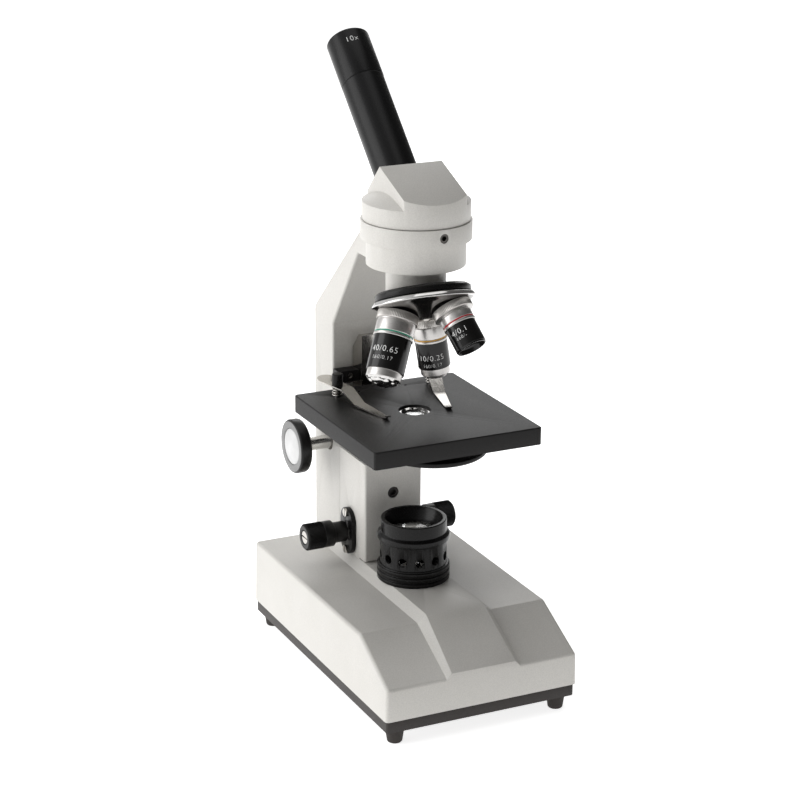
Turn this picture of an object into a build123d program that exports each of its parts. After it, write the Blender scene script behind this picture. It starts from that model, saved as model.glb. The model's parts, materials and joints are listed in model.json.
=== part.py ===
from build123d import *
import os
from math import atan2, cos, degrees, pi, radians, sin, tan

# Compound student microscope, millimetres, +Z up. The model is drawn on the optical axis
# (x = 0, y = 0, feet on z = 0) with the front of the base towards -Y, and is moved at the
# end so that its origin is the middle of its footprint.

# ---------------------------------------------------------------- driving dimensions
# base
base_front = -95.5
base_back = 106.5
base_half = 62.5
base_draft = 1.0
base_top = 57.1
base_edge = 16.8
base_nose = 37.0
base_slope_back = -55.5
base_wall = 3.0
base_round = 2.4
panel_top = 62.6
panel_half = 19.3
panel_foot_half = 24.3
panel_nose = 40.3
panel_nose_half = 21.0
panel_slope_back = -57.0
pan_bottom = 9.3
pan_inset = 1.0
pan_floor = 2.5
foot_r = 5.8
foot_tip_r = 4.6
foot_inset = 8.5
foot_screw_r = 1.5
# arm and focusing column
arm_half = 19.6
arm_wall = 5.0
arm_back = 106.5
arm_front = 78.0
arm_low_front = 67.0
arm_step = 128.5
arm_bend = 207.0
arm_throat_y = 40.0
arm_throat_z = 262.0
arm_shoulder_z = 213.5
arm_shoulder_y = 105.0
arm_crest_y = 37.6
arm_crest_z = 277.0
arm_bolt_r = 3.0
arm_bolt_head = 1.6
arm_bolt_inset = 8.0
column_front = 37.4
column_wall = 4.0
cover_thick = 8.2
cover_gap = 1.1
cover_screw_z = 107.5
cover_screw_r = 3.5
# fine focus
fine_y = 51.1
fine_z = 77.7
fine_shaft_r = 3.0
fine_knob_r = 8.5
fine_knob_end = 51.75
fine_hub_r = 6.6
fine_hub = 9.0
fine_plate = 3.0
fine_plate_half = 9.0
fine_plate_tall = 30.6
fine_screw_pitch = 24.8
fine_travel = 1.0
fine_turn = 140.0
cam_reach = 160
cam_gap = 0.4
cam_r = 5.0
# coarse focus
coarse_y = 84.0
coarse_z = 127.0
coarse_shaft_r = 4.4
coarse_knob_r = 17.4
coarse_knob_thick = 8.0
coarse_knob_end = 46.0
coarse_inset_r = 11.7
pinion_teeth = 16
gear_module = 1.0
tooth_thick = 1.15
coarse_up = 11.5
coarse_down = 23.0
# guide block and rail
block_half = 14.3
block_front = 68.5
block_back = 98.0
block_bottom = 95.0
block_top = 146.0
rail_front = 66.0
rail_front_half = 5.0
rail_back_half = 6.4
rail_bottom = 113.0
rail_top = 200.3
rail_bevel_tall = 10.3
rail_bevel_deep = 6.8
# stage
stage_half_x = 55.0
stage_front = -60.6
stage_back = 57.4
stage_bottom = 160.3
stage_top = 171.15
stage_corner = 2.0
stage_hole_r = 9.9
bracket_top = 177.5
bracket_front = 69.0
bracket_screw_x = 12.0
bracket_screw_z = 174.0
bracket_flange = 5.7
bracket_flange_front = 20.0
disc_r = 33.0
disc_offset = 24.5
disc_thick = 3.0
disc_bottom = 153.0
# stage clips
clip_x = 32.2
clip_y = 42.5
clip_reach = 53.5
clip_fold = 23.5
clip_bend = 10.5
clip_thick = 0.8
clip_lift = 7.2
clip_half = 5.4
clip_tip_half = 1.7
clip_waist = 3.7
clip_knob_r = 3.4
clip_knob_tall = 7.0
clip_toe_left = 10.6
clip_toe_right = 14.3
# lamp housing
lamp_ring_r = 22.6
lamp_body_r = 20.7
lamp_flange_r = 22.4
lamp_bore_r = 18.2
lamp_rim = 101.6
lamp_flange_low = 88.0
lamp_flange_high = 92.0
lamp_rings_top = 73.0
lamp_vents = 12
lamp_vent_r = 2.8
lamp_vent_z = 78.5
lamp_lens_r = 13.8
lens_edge = 1.8
lens_rise = 3.4
# arm head, head and tube
collar_r = 33.3
collar_bottom = 279.5
collar_top = 290.8
ring_r = 29.9
ring_bottom = 263.7
neck_r = 18.1
light_r = 9.0
collar_bore_r = 25.0
head_r = 32.3
head_top = 302.0
head_half = 20.35
head_toe_y = -26.5
head_toe_z = 307.8
head_ridge_y = 8.0
head_ridge_z = 321.8
head_heel_y = 24.5
head_heel_z = 304.7
head_cone_top = 307.7
lock_turn = 3.5
lock_r = 2.9
lock_lift = 0.4
head_wall = 4.0
tube_lean = 46.0
tube_cross_z = 285.4
tube_r = 13.3
tube_bore_r = 11.6
tube_seam = 104.0
eyepiece_long = 33.5
eyepiece_seat = 28.0
# nosepiece
turret_lean = 22.8
turret_apex_z = 276.4
turret_turn = -5.1
turret_rest = -22.9
turret_r = 31.7
turret_rim_top = 33.2
turret_rim_low = 36.8
turret_wall = 5.0
objective_seat = 46.0
objective_bore_r = 10.0
mount_r = 28.8
turret_shoulder_r = 29.4
mount_thick = 4.6
# objectives: overall reach from the apex, collar and sleeve radii
reach_4 = 74.0
reach_10 = 85.0
reach_40 = 90.2
collar_4 = 10.1
collar_10 = 10.3
collar_40 = 11.9
sleeve_4 = 9.4
sleeve_10 = 9.8
sleeve_40 = 11.3
sleeve_long_4 = 14.4
sleeve_long_10 = 16.6
sleeve_long_40 = 21.0
nut_long = 5.2
nut_r = 12.5
# fits
run_gap = 0.05
slide_gap = 0.3
seat_gap = 0.0

# ---------------------------------------------------------------- derived places
rail_back = coarse_y - gear_module * pinion_teeth / 2 + gear_module * 0.8
rail_root = coarse_y - gear_module * pinion_teeth / 2 - gear_module * 1.25
eyepiece_top = tube_seam + eyepiece_long
fuse_cap = 3.0
tube_reach = eyepiece_top * sin(radians(tube_lean)) + tube_r * cos(radians(tube_lean))
rear_reach = max(base_back + fuse_cap, tube_reach)
row_shift = Pos(0, -(base_front + rear_reach) / 2, 0)
tube_frame = Pos(0, 0, tube_cross_z) * Rot(-tube_lean, 0, 0)
turret_frame = Pos(0, 0, turret_apex_z) * Rot(0, 0, turret_turn) * Rot(-turret_lean, 0, 0)
column_floor = panel_top


# ---------------------------------------------------------------- shape helpers
def block(x, y, z):
    """Rectangular block between three pairs of limits."""
    middle = Pos((x[0] + x[1]) / 2, (y[0] + y[1]) / 2, (z[0] + z[1]) / 2)
    return middle * Box(x[1] - x[0], y[1] - y[0], z[1] - z[0])


def rod_z(radius, z, x=0.0, y=0.0):
    """Upright cylinder."""
    return Pos(x, y, (z[0] + z[1]) / 2) * Cylinder(radius, z[1] - z[0])


def rod_x(radius, x, y, z):
    """Cylinder lying across the microscope."""
    return Pos((x[0] + x[1]) / 2, y, z) * Rot(0, 90, 0) * Cylinder(radius, x[1] - x[0])


def rod_y(radius, y, x, z):
    """Cylinder lying front to back."""
    return Pos(x, (y[0] + y[1]) / 2, z) * Rot(90, 0, 0) * Cylinder(radius, y[1] - y[0])


def side_prism(outline, x):
    """Prism across the microscope from (y, z) corners."""
    face = Plane.YZ.offset(x[0]) * Polygon(*outline, align=None)
    return extrude(face, x[1] - x[0], dir=(1, 0, 0))


def front_prism(outline, y):
    """Prism front to back from (x, z) corners."""
    face = Plane.XZ.offset(-y[1]) * Polygon(*outline, align=None)
    return extrude(face, y[1] - y[0], dir=(0, -1, 0))


def turned(outline):
    """Solid of revolution about Z from (radius, z) corners."""
    return revolve(Plane.XZ * Polygon(*outline, align=None), Axis.Z)


def hex_socket(radius, depth):
    """Hexagonal key hole, opening at z = 0 and going down."""
    return Pos(0, 0, -depth) * extrude(RegularPolygon(radius, 6), depth * 2)


def group(solids):
    """Separate solids kept together in one node."""
    return Compound([one for shape in solids for one in shape.solids()])


# ---------------------------------------------------------------- base
def base_outline(inset):
    """Side outline of the base, shrunk by inset."""
    low = base_edge - (1.0 if inset else 0.0)
    steep = inset * tan(radians(20))
    return [
        (base_front + inset, low),
        (base_front + inset, base_nose - steep),
        (base_slope_back + steep, base_top - inset),
        (base_back - inset, base_top - inset),
        (base_back - inset, low),
    ]


def base_solid(inset):
    """Wedge-nosed box of the base with drafted sides."""
    top_half = base_half - inset
    low_half = base_half + base_draft - inset
    high = panel_top + 5
    flare = base_draft / (base_top - base_edge)
    front = [
        (-low_half - flare, base_edge - 1),
        (low_half + flare, base_edge - 1),
        (top_half - flare * (high - base_top), high),
        (-top_half + flare * (high - base_top), high),
    ]
    along = (base_front - 5, base_back + 5)
    return side_prism(base_outline(inset), (-80, 80)) & front_prism(front, along)


def panel_section(y, top_half, top, foot_half, foot):
    """Cross-section of the raised middle panel at one place."""
    points = [(-foot_half, foot - 8), (foot_half, foot - 8), (foot_half, foot)]
    points += [(top_half, top), (-top_half, top), (-foot_half, foot)]
    return Plane.XZ.offset(-y) * Polygon(*points, align=None)


def raised_panel():
    """Raised middle panel that carries the lamp and the column."""
    back = panel_section(base_back, panel_half, panel_top, panel_foot_half, base_top)
    bend = panel_section(panel_slope_back, panel_half, panel_top, panel_foot_half, base_top)
    nose = panel_section(base_front, panel_nose_half, panel_nose, panel_foot_half, base_nose)
    return loft([back, bend], ruled=True) + loft([bend, nose], ruled=True)


def panel_hollow():
    """Room under the raised panel, one wall thick all round."""
    slim = panel_half - base_wall
    top = panel_top - base_wall
    return front_prism(
        [(-slim, base_top - 8), (slim, base_top - 8), (slim, top), (-slim, top)],
        (panel_slope_back + 4, base_back - base_wall),
    )


def base_cover():
    """Painted cover of the base."""
    body = base_solid(0)
    corners = body.edges().filter_by(lambda e: e.center().Z > base_edge + 0.5)
    body = fillet(corners, base_round)
    body = body + raised_panel()
    body = body - base_solid(base_wall) - panel_hollow()
    for x, y in arm_bolt_places():
        body = body - rod_z(arm_bolt_r + 0.4, (base_top - 10, panel_top + 1), x, y)
        body = body + rod_z(arm_bolt_r + 3.5, (panel_top - base_wall - 2, panel_top - base_wall + 0.5), x, y)
        body = body - rod_z(arm_bolt_r + 0.4, (base_top - 10, panel_top + 1), x, y)
    body = body - rod_z(7.5, (base_top - 10, panel_top + 1))
    for y in lamp_screw_places():
        body = body - rod_z(1.7, (base_top - 10, panel_top + 1), 0, y)
    for place in pan_screw_places():
        post = rod_z(5.0, (base_edge, base_top), *place) & base_solid(base_wall / 2)
        body = body + post - rod_z(foot_screw_r, (base_edge - 1, base_edge + 12), *place)
    back = (base_back - base_wall - 1, base_back + 1)
    body = body - block(inlet_x_limits(), back, inlet_z_limits())
    body = body - block(switch_x_limits(), back, switch_z_limits())
    body = body - rod_y(fuse_r + 0.2, back, fuse_x, inlet_z)
    return body


def pan_half():
    return base_half + base_draft - pan_inset


def base_pan():
    """Dark tray that closes the base from below."""
    lip = base_wall + 0.4
    y = (base_front + pan_inset, base_back - pan_inset)
    half = pan_half()
    tray = block((-half, half), y, (pan_bottom, base_edge))
    tray = fillet(tray.edges().filter_by(Axis.Z), 2.0)
    room = block((-half + lip, half - lip), (y[0] + lip, y[1] - lip), (pan_bottom + pan_floor, base_edge + 1))
    tray = tray - room
    for place in pan_screw_places():
        tray = tray + rod_z(5.0, (pan_bottom, base_edge), *place)
        tray = tray - rod_z(foot_screw_r + 0.2, (pan_bottom - 1, base_edge + 1), *place)
    for i in range(-3, 4):
        slot = block((i * 9 - 1.5, i * 9 + 1.5), (-30, 10), (pan_bottom - 1, pan_bottom + pan_floor + 1))
        tray = tray - slot
    return tray


def pan_screw_places():
    x = base_half - foot_inset
    return [(-x, base_front + foot_inset), (x, base_front + foot_inset),
            (-x, base_back - foot_inset), (x, base_back - foot_inset)]


def feet():
    """Four rubber feet, recessed for their screws."""
    one = turned([(foot_screw_r + 0.3, 0), (foot_tip_r - 0.6, 0), (foot_tip_r, 0.8),
                  (foot_r, pan_bottom), (foot_screw_r + 0.3, pan_bottom)])
    one = one - rod_z(3.1, (-1, 4.0))
    return group([Pos(x, y, 0) * one for x, y in pan_screw_places()])


def foot_screws():
    """Screws that hold the feet and the pan to the cover."""
    one = rod_z(2.9, (2.0, 4.0)) + rod_z(foot_screw_r, (3.9, base_edge + 12))
    one = one - block((-0.4, 0.4), (-4, 4), (1.5, 2.8))
    return group([Pos(x, y, 0) * one for x, y in pan_screw_places()])


# ---------------------------------------------------------------- electrical parts
inlet_x = -30.0
inlet_z = 36.0
inlet_half_x = 13.5
inlet_half_z = 9.8
inlet_deep = 22.0
switch_x = 30.0
switch_half_x = 6.6
switch_half_z = 10.2
fuse_x = -5.0
fuse_r = 6.0
bezel_lip = 2.0
bezel_thick = 1.5
rocker_half_x = 4.6
rocker_half_z = 8.3
rocker_tilt = 7.0
rocker_gap = 0.6


def inlet_x_limits():
    return (inlet_x - inlet_half_x - 0.2, inlet_x + inlet_half_x + 0.2)


def inlet_z_limits():
    return (inlet_z - inlet_half_z - 0.2, inlet_z + inlet_half_z + 0.2)


def switch_x_limits():
    return (switch_x - switch_half_x - 0.2, switch_x + switch_half_x + 0.2)


def switch_z_limits():
    return (inlet_z - switch_half_z - 0.2, inlet_z + switch_half_z + 0.2)


def power_inlet():
    """Three-pin mains inlet in the back of the base."""
    x = (inlet_x - inlet_half_x, inlet_x + inlet_half_x)
    z = (inlet_z - inlet_half_z, inlet_z + inlet_half_z)
    body = block(x, (base_back - inlet_deep, base_back), z)
    lip_x = (x[0] - bezel_lip, x[1] + bezel_lip)
    lip_z = (z[0] - bezel_lip, z[1] + bezel_lip)
    body = body + block(lip_x, (base_back, base_back + bezel_thick), lip_z)
    body = body - block((x[0] + 1.5, x[1] - 1.5), (base_back - 16, base_back + 3), (z[0] + 1.6, z[1] - 1.6))
    for dx, dz in ((-7.0, -1.5), (0.0, 2.5), (7.0, -1.5)):
        pin_x = (inlet_x + dx - 1.0, inlet_x + dx + 1.0)
        pin_z = (inlet_z + dz - 2.0, inlet_z + dz + 2.0)
        body = body + block(pin_x, (base_back - 17, base_back - 6), pin_z)
    return body


def switch_bezel():
    """Frame of the power switch."""
    x = (switch_x - switch_half_x, switch_x + switch_half_x)
    z = (inlet_z - switch_half_z, inlet_z + switch_half_z)
    body = block(x, (base_back - 18, base_back), z)
    lip_x = (x[0] - bezel_lip, x[1] + bezel_lip)
    lip_z = (z[0] - bezel_lip, z[1] + bezel_lip)
    body = body + block(lip_x, (base_back, base_back + bezel_thick), lip_z)
    half_x = rocker_half_x + slide_gap
    half_z = rocker_half_z + rocker_gap
    room_x = (switch_x - half_x, switch_x + half_x)
    body = body - block(room_x, (base_back - 10, base_back + 3), (inlet_z - half_z, inlet_z + half_z))
    pivot_y = base_back - 3.0
    body = body - rod_x(1.5 + run_gap, (x[0] - 1, x[1] + 1), pivot_y, inlet_z)
    return body


def switch_rocker():
    """Two-position rocker on its pivot pin, resting in the off position."""
    pivot_y = base_back - 3.0
    deep = 5.0
    outline = [(-deep, -3.0), (-deep, 3.0), (2.6, rocker_half_z), (4.9, rocker_half_z),
               (3.4, 0), (4.9, -rocker_half_z), (2.6, -rocker_half_z)]
    body = side_prism(outline, (-rocker_half_x, rocker_half_x))
    body = body + rod_x(1.5, (-switch_half_x, switch_half_x), 0, 0)
    return Pos(switch_x, pivot_y, inlet_z) * Rot(rocker_tilt, 0, 0) * body


def fuse_holder():
    """Fuse carrier with a slotted cap."""
    body = rod_y(fuse_r, (base_back - 26, base_back), fuse_x, inlet_z)
    body = body + rod_y(fuse_r + 1.6, (base_back, base_back + fuse_cap), fuse_x, inlet_z)
    body = body - block((fuse_x - 5, fuse_x + 5), (base_back + 1.8, base_back + 4), (inlet_z - 0.7, inlet_z + 0.7))
    return body


transformer_y = 58.0


def transformer_core():
    """Laminated core standing on the pan."""
    low = pan_bottom + pan_floor
    y = (transformer_y - 22, transformer_y + 22)
    core = block((-26, 26), y, (low, low + 20))
    for side in (-1, 1):
        window = block((side * 13 - 5, side * 13 + 5), (y[0] + 8, y[1] - 8), (low - 1, low + 21))
        core = core - window
    return core


def transformer_coil():
    """Winding around the middle leg of the core."""
    low = pan_bottom + pan_floor
    y = (transformer_y - 13.5, transformer_y + 13.5)
    coil = block((-17, 17), y, (low + 0.5, low + 24))
    coil = fillet(coil.edges().filter_by(Axis.Z), 3.0)
    core = transformer_core()
    return coil - core


# ---------------------------------------------------------------- arm
def arm_outline():
    """Side outline of the arm from its foot to the head ring."""
    return [
        (arm_back, column_floor),
        (arm_low_front, column_floor),
        (arm_low_front, arm_step),
        (arm_front, arm_step),
        (arm_front, arm_bend),
        (arm_throat_y, arm_throat_z),
        (neck_r + 1.5, arm_throat_z),
        (neck_r + 1.5, arm_crest_z),
        (arm_crest_y, arm_crest_z),
        (arm_shoulder_y, arm_shoulder_z),
        (arm_back, arm_shoulder_z - 4),
    ]


def arm_room():
    """Hollow of the arm: the guide shaft below, the casting's core above."""
    t = arm_wall
    outline = [
        (arm_back - t - 2, column_floor + t + 1),
        (arm_low_front - 1, column_floor + t + 1),
        (arm_low_front - 1, arm_step),
        (arm_front - 1, arm_step),
        (arm_front - 1, block_top + fine_travel + 3),
        (arm_front + t, block_top + fine_travel + 3),
        (arm_front + t, arm_bend + 2),
        (arm_throat_y + 12, arm_throat_z - 6),
        (arm_shoulder_y - 7, arm_shoulder_z - 3),
        (arm_back - t - 2, arm_shoulder_z - 12),
    ]
    return side_prism(outline, (-arm_half + t, arm_half - t))


def arm_bolt_places():
    panel_room = panel_half - base_wall - arm_bolt_r - arm_bolt_head - 0.5
    x = min(arm_half - arm_bolt_inset, panel_room)
    return [(-x, arm_low_front + 8), (x, arm_low_front + 8), (-x, arm_back - 10), (x, arm_back - 10)]


def arm():
    """Cast arm with the ring that carries the nosepiece and the head."""
    body = side_prism(arm_outline(), (-arm_half, arm_half))
    upright = body.edges().filter_by(lambda e: e.center().Y > 30 and abs(e.center().X) > arm_half - 0.1)
    body = fillet(upright, 1.5)
    body = body - arm_room()
    body = body + rod_z(ring_r, (ring_bottom, collar_bottom))
    body = body + rod_z(collar_r, (collar_bottom, collar_top))
    body = body - rod_z(collar_bore_r, (collar_bottom + 2, collar_top + 1))
    body = body + (rod_z(neck_r, (turret_apex_z - 60, ring_bottom + 0.5)) & above_mount())
    body = body - rod_z(neck_seat_r(), (turret_apex_z - 60, collar_bottom + 3))
    body = body - rod_x(coarse_slot_r(), (-arm_half - 1, arm_half + 1), coarse_y, coarse_z)
    for x, y in arm_bolt_places():
        body = body - rod_z(arm_bolt_r, (column_floor - 1, column_floor + arm_wall + 0.5), x, y)
    body = body - head_lock_hole()
    return body


def coarse_slot_r():
    return coarse_shaft_r + fine_travel + slide_gap


def neck_seat_r():
    return neck_r - 3.0


def mount_top():
    """Height of the nosepiece plate's top face in the turret's frame."""
    return -turret_rim_top + 0.4 + mount_thick


def above_mount():
    """Everything above the top face of the tilted nosepiece plate."""
    return turret_frame * rod_z(80, (mount_top(), 80))


def head_lock_frame():
    """Set screw that grips the head, square to the collar, right of the front."""
    height = (collar_bottom + collar_top) / 2 + lock_lift
    return Pos(0, 0, height) * Rot(0, 0, lock_turn) * Pos(0, -collar_r, 0) * Rot(90, 0, 0)


def head_lock_hole():
    return head_lock_frame() * rod_z(lock_r, (-12, 2))


def head_lock_screw():
    """Hexagon socket set screw in the collar."""
    screw = rod_z(lock_r, (-(collar_r - collar_bore_r) + 0.6, -0.6))
    return head_lock_frame() * (screw - Pos(0, 0, -0.6) * hex_socket(1.7, 3.0))


def arm_bolts():
    """Bolts from inside the base into the arm."""
    head_top = panel_top - base_wall - 2
    one = rod_z(arm_bolt_r, (head_top - 0.1, column_floor + arm_wall))
    one = one + rod_z(arm_bolt_r + arm_bolt_head, (head_top - 4, head_top))
    return group([Pos(x, y, 0) * one for x, y in arm_bolt_places()])


# ---------------------------------------------------------------- focusing column
def column_housing():
    """Housing of the fine focus in front of the arm, open to the front and to the arm."""
    y = (column_front, arm_low_front)
    w = column_wall
    body = block((-arm_half, arm_half), y, (column_floor, arm_step))
    room = block((-arm_half + w, arm_half - w), (y[0] - 1, y[1] + 1), (column_floor + w, arm_step - w))
    web_z = (cover_screw_z - 5.5, cover_screw_z + 5.5)
    web = block((-arm_half + w - 0.5, arm_half - w + 0.5), (column_front, column_front + 8), web_z)
    body = body - room + web
    body = body - rod_x(fine_shaft_r + 1.0, (-arm_half - 1, arm_half + 1), fine_y, fine_z)
    body = body - rod_y(cover_screw_r - 1.0, (column_front - 1, column_front + 7), 0, cover_screw_z)
    rail_room = (-rail_back_half - 1, rail_back_half + 1)
    body = body - block(rail_room, (rail_front - 1, y[1] + 1), (column_floor + w, arm_step + 1))
    for side in (-1, 1):
        for dz in (-fine_screw_pitch / 2, fine_screw_pitch / 2):
            x = sorted((side * (arm_half - 2.5), side * (arm_half + 1)))
            body = body - rod_x(1.3, x, fine_y, fine_z + dz)
    return body


def column_cover():
    """Front cover of the column."""
    y = (column_front - cover_thick, column_front)
    z = (column_floor + cover_gap, arm_step)
    body = block((-arm_half, arm_half), y, z)
    front = body.edges().filter_by(Axis.Z).group_by(Axis.Y)[0]
    body = fillet(front, 1.5)
    body = body - rod_y(cover_screw_r + 0.3, (y[0] - 1, y[0] + 3.6), 0, cover_screw_z)
    body = body - rod_y(cover_screw_r - 1.0 + 0.2, (y[0], y[1] + 1), 0, cover_screw_z)
    pocket = block((-arm_half + 4, arm_half - 4), (y[1] - 4, y[1] + 1), (z[0] + 5, cover_screw_z - 7))
    return body - pocket


def column_cover_screw():
    """Socket screw through the column's front cover."""
    face = column_front - cover_thick + 0.4
    screw = rod_y(cover_screw_r, (face, face + 3.2), 0, cover_screw_z)
    screw = screw + rod_y(cover_screw_r - 1.0, (face + 3, column_front + 6.5), 0, cover_screw_z)
    key = Pos(0, face, cover_screw_z) * Rot(90, 0, 0) * hex_socket(2.0, 2.2)
    return screw - key


# ---------------------------------------------------------------- fine focus
def fine_plates():
    """Oval bearing plates on both sides of the column."""
    straight = fine_plate_tall - 2 * fine_plate_half
    outline = Rectangle(2 * fine_plate_half, straight)
    for end in (-straight / 2, straight / 2):
        outline = outline + Pos(0, end) * Circle(fine_plate_half)
    both = []
    for side in (-1, 1):
        x0 = min(side * arm_half, side * (arm_half + fine_plate))
        plate = extrude(Plane.YZ.offset(x0) * outline, fine_plate, dir=(1, 0, 0))
        plate = Pos(0, fine_y, fine_z) * plate
        x = (x0 - 1, x0 + fine_plate + 1)
        plate = plate - rod_x(fine_shaft_r + run_gap, x, fine_y, fine_z)
        for dz in (-fine_screw_pitch / 2, fine_screw_pitch / 2):
            plate = plate - rod_x(1.5, x, fine_y, fine_z + dz)
        both.append(plate)
    return group(both)


def fine_plate_screws():
    """Round-head screws of the bearing plates."""
    face = arm_half + fine_plate
    out = []
    for side in (-1, 1):
        for dz in (-fine_screw_pitch / 2, fine_screw_pitch / 2):
            shank = sorted((side * (arm_half - 2.4), side * (face + 0.1)))
            head = sorted((side * face, side * (face + 1.3)))
            screw = rod_x(1.25, shank, fine_y, fine_z + dz) + rod_x(2.6, head, fine_y, fine_z + dz)
            slot_x = sorted((side * (face + 0.7), side * (face + 2)))
            slot = block(slot_x, (fine_y - 0.4, fine_y + 0.4), (fine_z + dz - 3, fine_z + dz + 3))
            out.append(screw - slot)
    return group(out)


def cam_outline():
    """Corners of a spiral whose radius grows evenly with its angle."""
    rise = fine_travel / radians(fine_turn)
    corners = []
    for step in range(-cam_reach // 10, cam_reach // 10 + 1):
        turn = radians(step * 10)
        radius = cam_r - rise * turn
        corners.append((radius * sin(turn), radius * cos(turn)))
    return corners


def fine_shaft():
    """Shaft of the fine focus with its spiral cam."""
    end = fine_knob_end - 4
    shaft = rod_x(fine_shaft_r, (-end, end), fine_y, fine_z)
    cam = Pos(0, fine_y, fine_z) * side_prism(cam_outline(), (-4, 4))
    return shaft + cam


def fine_knobs():
    """Knurled knobs with a narrower hub next to the column."""
    hub = fine_knob_start()
    grip = hub + fine_hub
    both = []
    for side in (-1, 1):
        knob = rod_x(fine_knob_r, sorted((side * grip, side * fine_knob_end)), fine_y, fine_z)
        knob = chamfer(knob.edges(), 0.6)
        knob = knob + rod_x(fine_hub_r, sorted((side * hub, side * (grip + 0.5))), fine_y, fine_z)
        knob = knob - rod_x(fine_shaft_r, sorted((side * (hub - 1), side * (fine_knob_end - 4))), fine_y, fine_z)
        knob = knob - rod_x(4.4, sorted((side * (fine_knob_end - 2), side * (fine_knob_end + 1))), fine_y, fine_z)
        both.append(knob)
    return group(both)


def fine_knob_start():
    return arm_half + fine_plate + 1.3 + slide_gap


def fine_knob_screws():
    """Slotted screws in the ends of the fine knobs."""
    both = []
    for side in (-1, 1):
        head = sorted((side * (fine_knob_end - 2), side * (fine_knob_end - 0.4)))
        screw = rod_x(4.1, head, fine_y, fine_z)
        slot_x = sorted((side * (fine_knob_end - 1.2), side * (fine_knob_end + 1)))
        both.append(screw - block(slot_x, (fine_y - 5, fine_y + 5), (fine_z - 0.5, fine_z + 0.5)))
    return group(both)


# ---------------------------------------------------------------- focusing carriage
def rail_outline(gap):
    """Plan outline of the dovetail rail, grown by gap."""
    front = rail_front - 2
    taper = (rail_back_half - rail_front_half) / (rail_back - rail_front)
    near = rail_front_half - taper * 2 + gap
    far = rail_back_half + gap
    if gap:
        return [(-near, front), (near, front), (far, rail_back + gap), (-far, rail_back + gap)]
    near = rail_front_half
    return [(-near, rail_front), (near, rail_front), (far, rail_back), (-far, rail_back)]


def rail_prism(gap, z):
    face = Plane.XY.offset(z[0]) * Polygon(*rail_outline(gap), align=None)
    return extrude(face, z[1] - z[0], dir=(0, 0, 1))


def guide_block():
    """Block that holds the rail and the pinion, and slides in the arm for the fine focus."""
    body = block((-block_half, block_half), (block_front, block_back), (block_bottom, block_top))
    body = body - rail_prism(run_gap * 2, (block_bottom - 1, block_top + 1))
    body = body - rod_x(coarse_shaft_r + run_gap, (-block_half - 1, block_half + 1), coarse_y, coarse_z)
    pocket_r = gear_module * (pinion_teeth / 2 + 1) + 0.8
    body = body - rod_x(pocket_r, (-pinion_half() - 0.5, pinion_half() + 0.5), coarse_y, coarse_z)
    return body


def fine_lifter():
    """Lever arm of the guide block that rides on the fine-focus cam."""
    foot = fine_z + cam_r + cam_gap
    arm_top = foot + 4.5
    body = block((-4.5, 4.5), (fine_y - 6, block_back - 14), (foot, arm_top))
    riser = block((-4.5, 4.5), (block_back - 20, block_back - 6), (foot, block_bottom))
    return body + riser


def pinion_half():
    return 5.0


def pinion():
    """Pinion of the coarse focus, one tooth pointing at the rack's gap."""
    pitch_r = gear_module * pinion_teeth / 2
    root_r = pitch_r - 1.25 * gear_module
    tip_r = pitch_r + 0.8 * gear_module
    half = pinion_half()
    body = rod_x(root_r, (-half, half), 0, 0)
    wide = tooth_thick / 2 + 0.35
    slim = tooth_thick / 2 - 0.28
    tooth = side_prism([(-root_r + 0.5, -wide), (-root_r + 0.5, wide), (-tip_r, slim), (-tip_r, -slim)], (-half, half))
    for i in range(pinion_teeth):
        body = body + Rot(360 / pinion_teeth * i, 0, 0) * tooth
    body = body - rod_x(coarse_shaft_r, (-half - 1, half + 1), 0, 0)
    return Pos(0, coarse_y, coarse_z) * body


def coarse_shaft():
    """Bright shaft of the coarse focus."""
    end = coarse_knob_end - 3
    return rod_x(coarse_shaft_r, (-end, end), coarse_y, coarse_z)


def coarse_knobs():
    """Black wheels of the coarse focus, dished for their light insets."""
    both = []
    for side in (-1, 1):
        inner = coarse_knob_end - coarse_knob_thick
        wheel = rod_x(coarse_knob_r, sorted((side * inner, side * coarse_knob_end)), coarse_y, coarse_z)
        wheel = fillet(wheel.edges(), 1.2)
        hub = sorted((side * (inner - 3), side * (inner + 1)))
        wheel = wheel + rod_x(7.0, hub, coarse_y, coarse_z)
        room = sorted((side * (coarse_knob_end - 1.6), side * (coarse_knob_end + 1)))
        wheel = wheel - rod_x(coarse_inset_r + 0.1, room, coarse_y, coarse_z)
        bore = sorted((side * (inner - 4), side * (coarse_knob_end - 3)))
        both.append(wheel - rod_x(coarse_shaft_r, bore, coarse_y, coarse_z))
    return group(both)


def coarse_insets():
    """Light discs let into the coarse knobs."""
    both = []
    for side in (-1, 1):
        x = sorted((side * (coarse_knob_end - 1.6), side * (coarse_knob_end - 0.3)))
        both.append(rod_x(coarse_inset_r, x, coarse_y, coarse_z))
    return group(both)


# ---------------------------------------------------------------- stage
def rack_rail():
    """Bright dovetail rail with rack teeth on its back."""
    body = rail_prism(0, (rail_bottom, rail_top))
    bevel = [(rail_back + 0.5, rail_top - rail_bevel_tall), (rail_back + 0.5, rail_top + 1)]
    bevel += [(rail_back - rail_bevel_deep, rail_top + 1), (rail_back - rail_bevel_deep, rail_top)]
    body = body - side_prism(bevel, (-rail_back_half - 1, rail_back_half + 1))
    pitch = pi * gear_module
    half = pinion_half() + 0.5
    wide = (pitch - tooth_thick) / 2 + 0.28
    slim = (pitch - tooth_thick) / 2 - 0.35
    lowest = int((rail_bottom - coarse_z) / pitch)
    highest = int((coarse_z + coarse_down + 2 - coarse_z) / pitch) + 1
    for i in range(lowest, highest + 1):
        z = coarse_z + i * pitch
        outline = [(rail_root, z - slim), (rail_root, z + slim)]
        outline += [(rail_back + 0.5, z + wide), (rail_back + 0.5, z - wide)]
        body = body - side_prism(outline, (-half, half))
    return body


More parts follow.
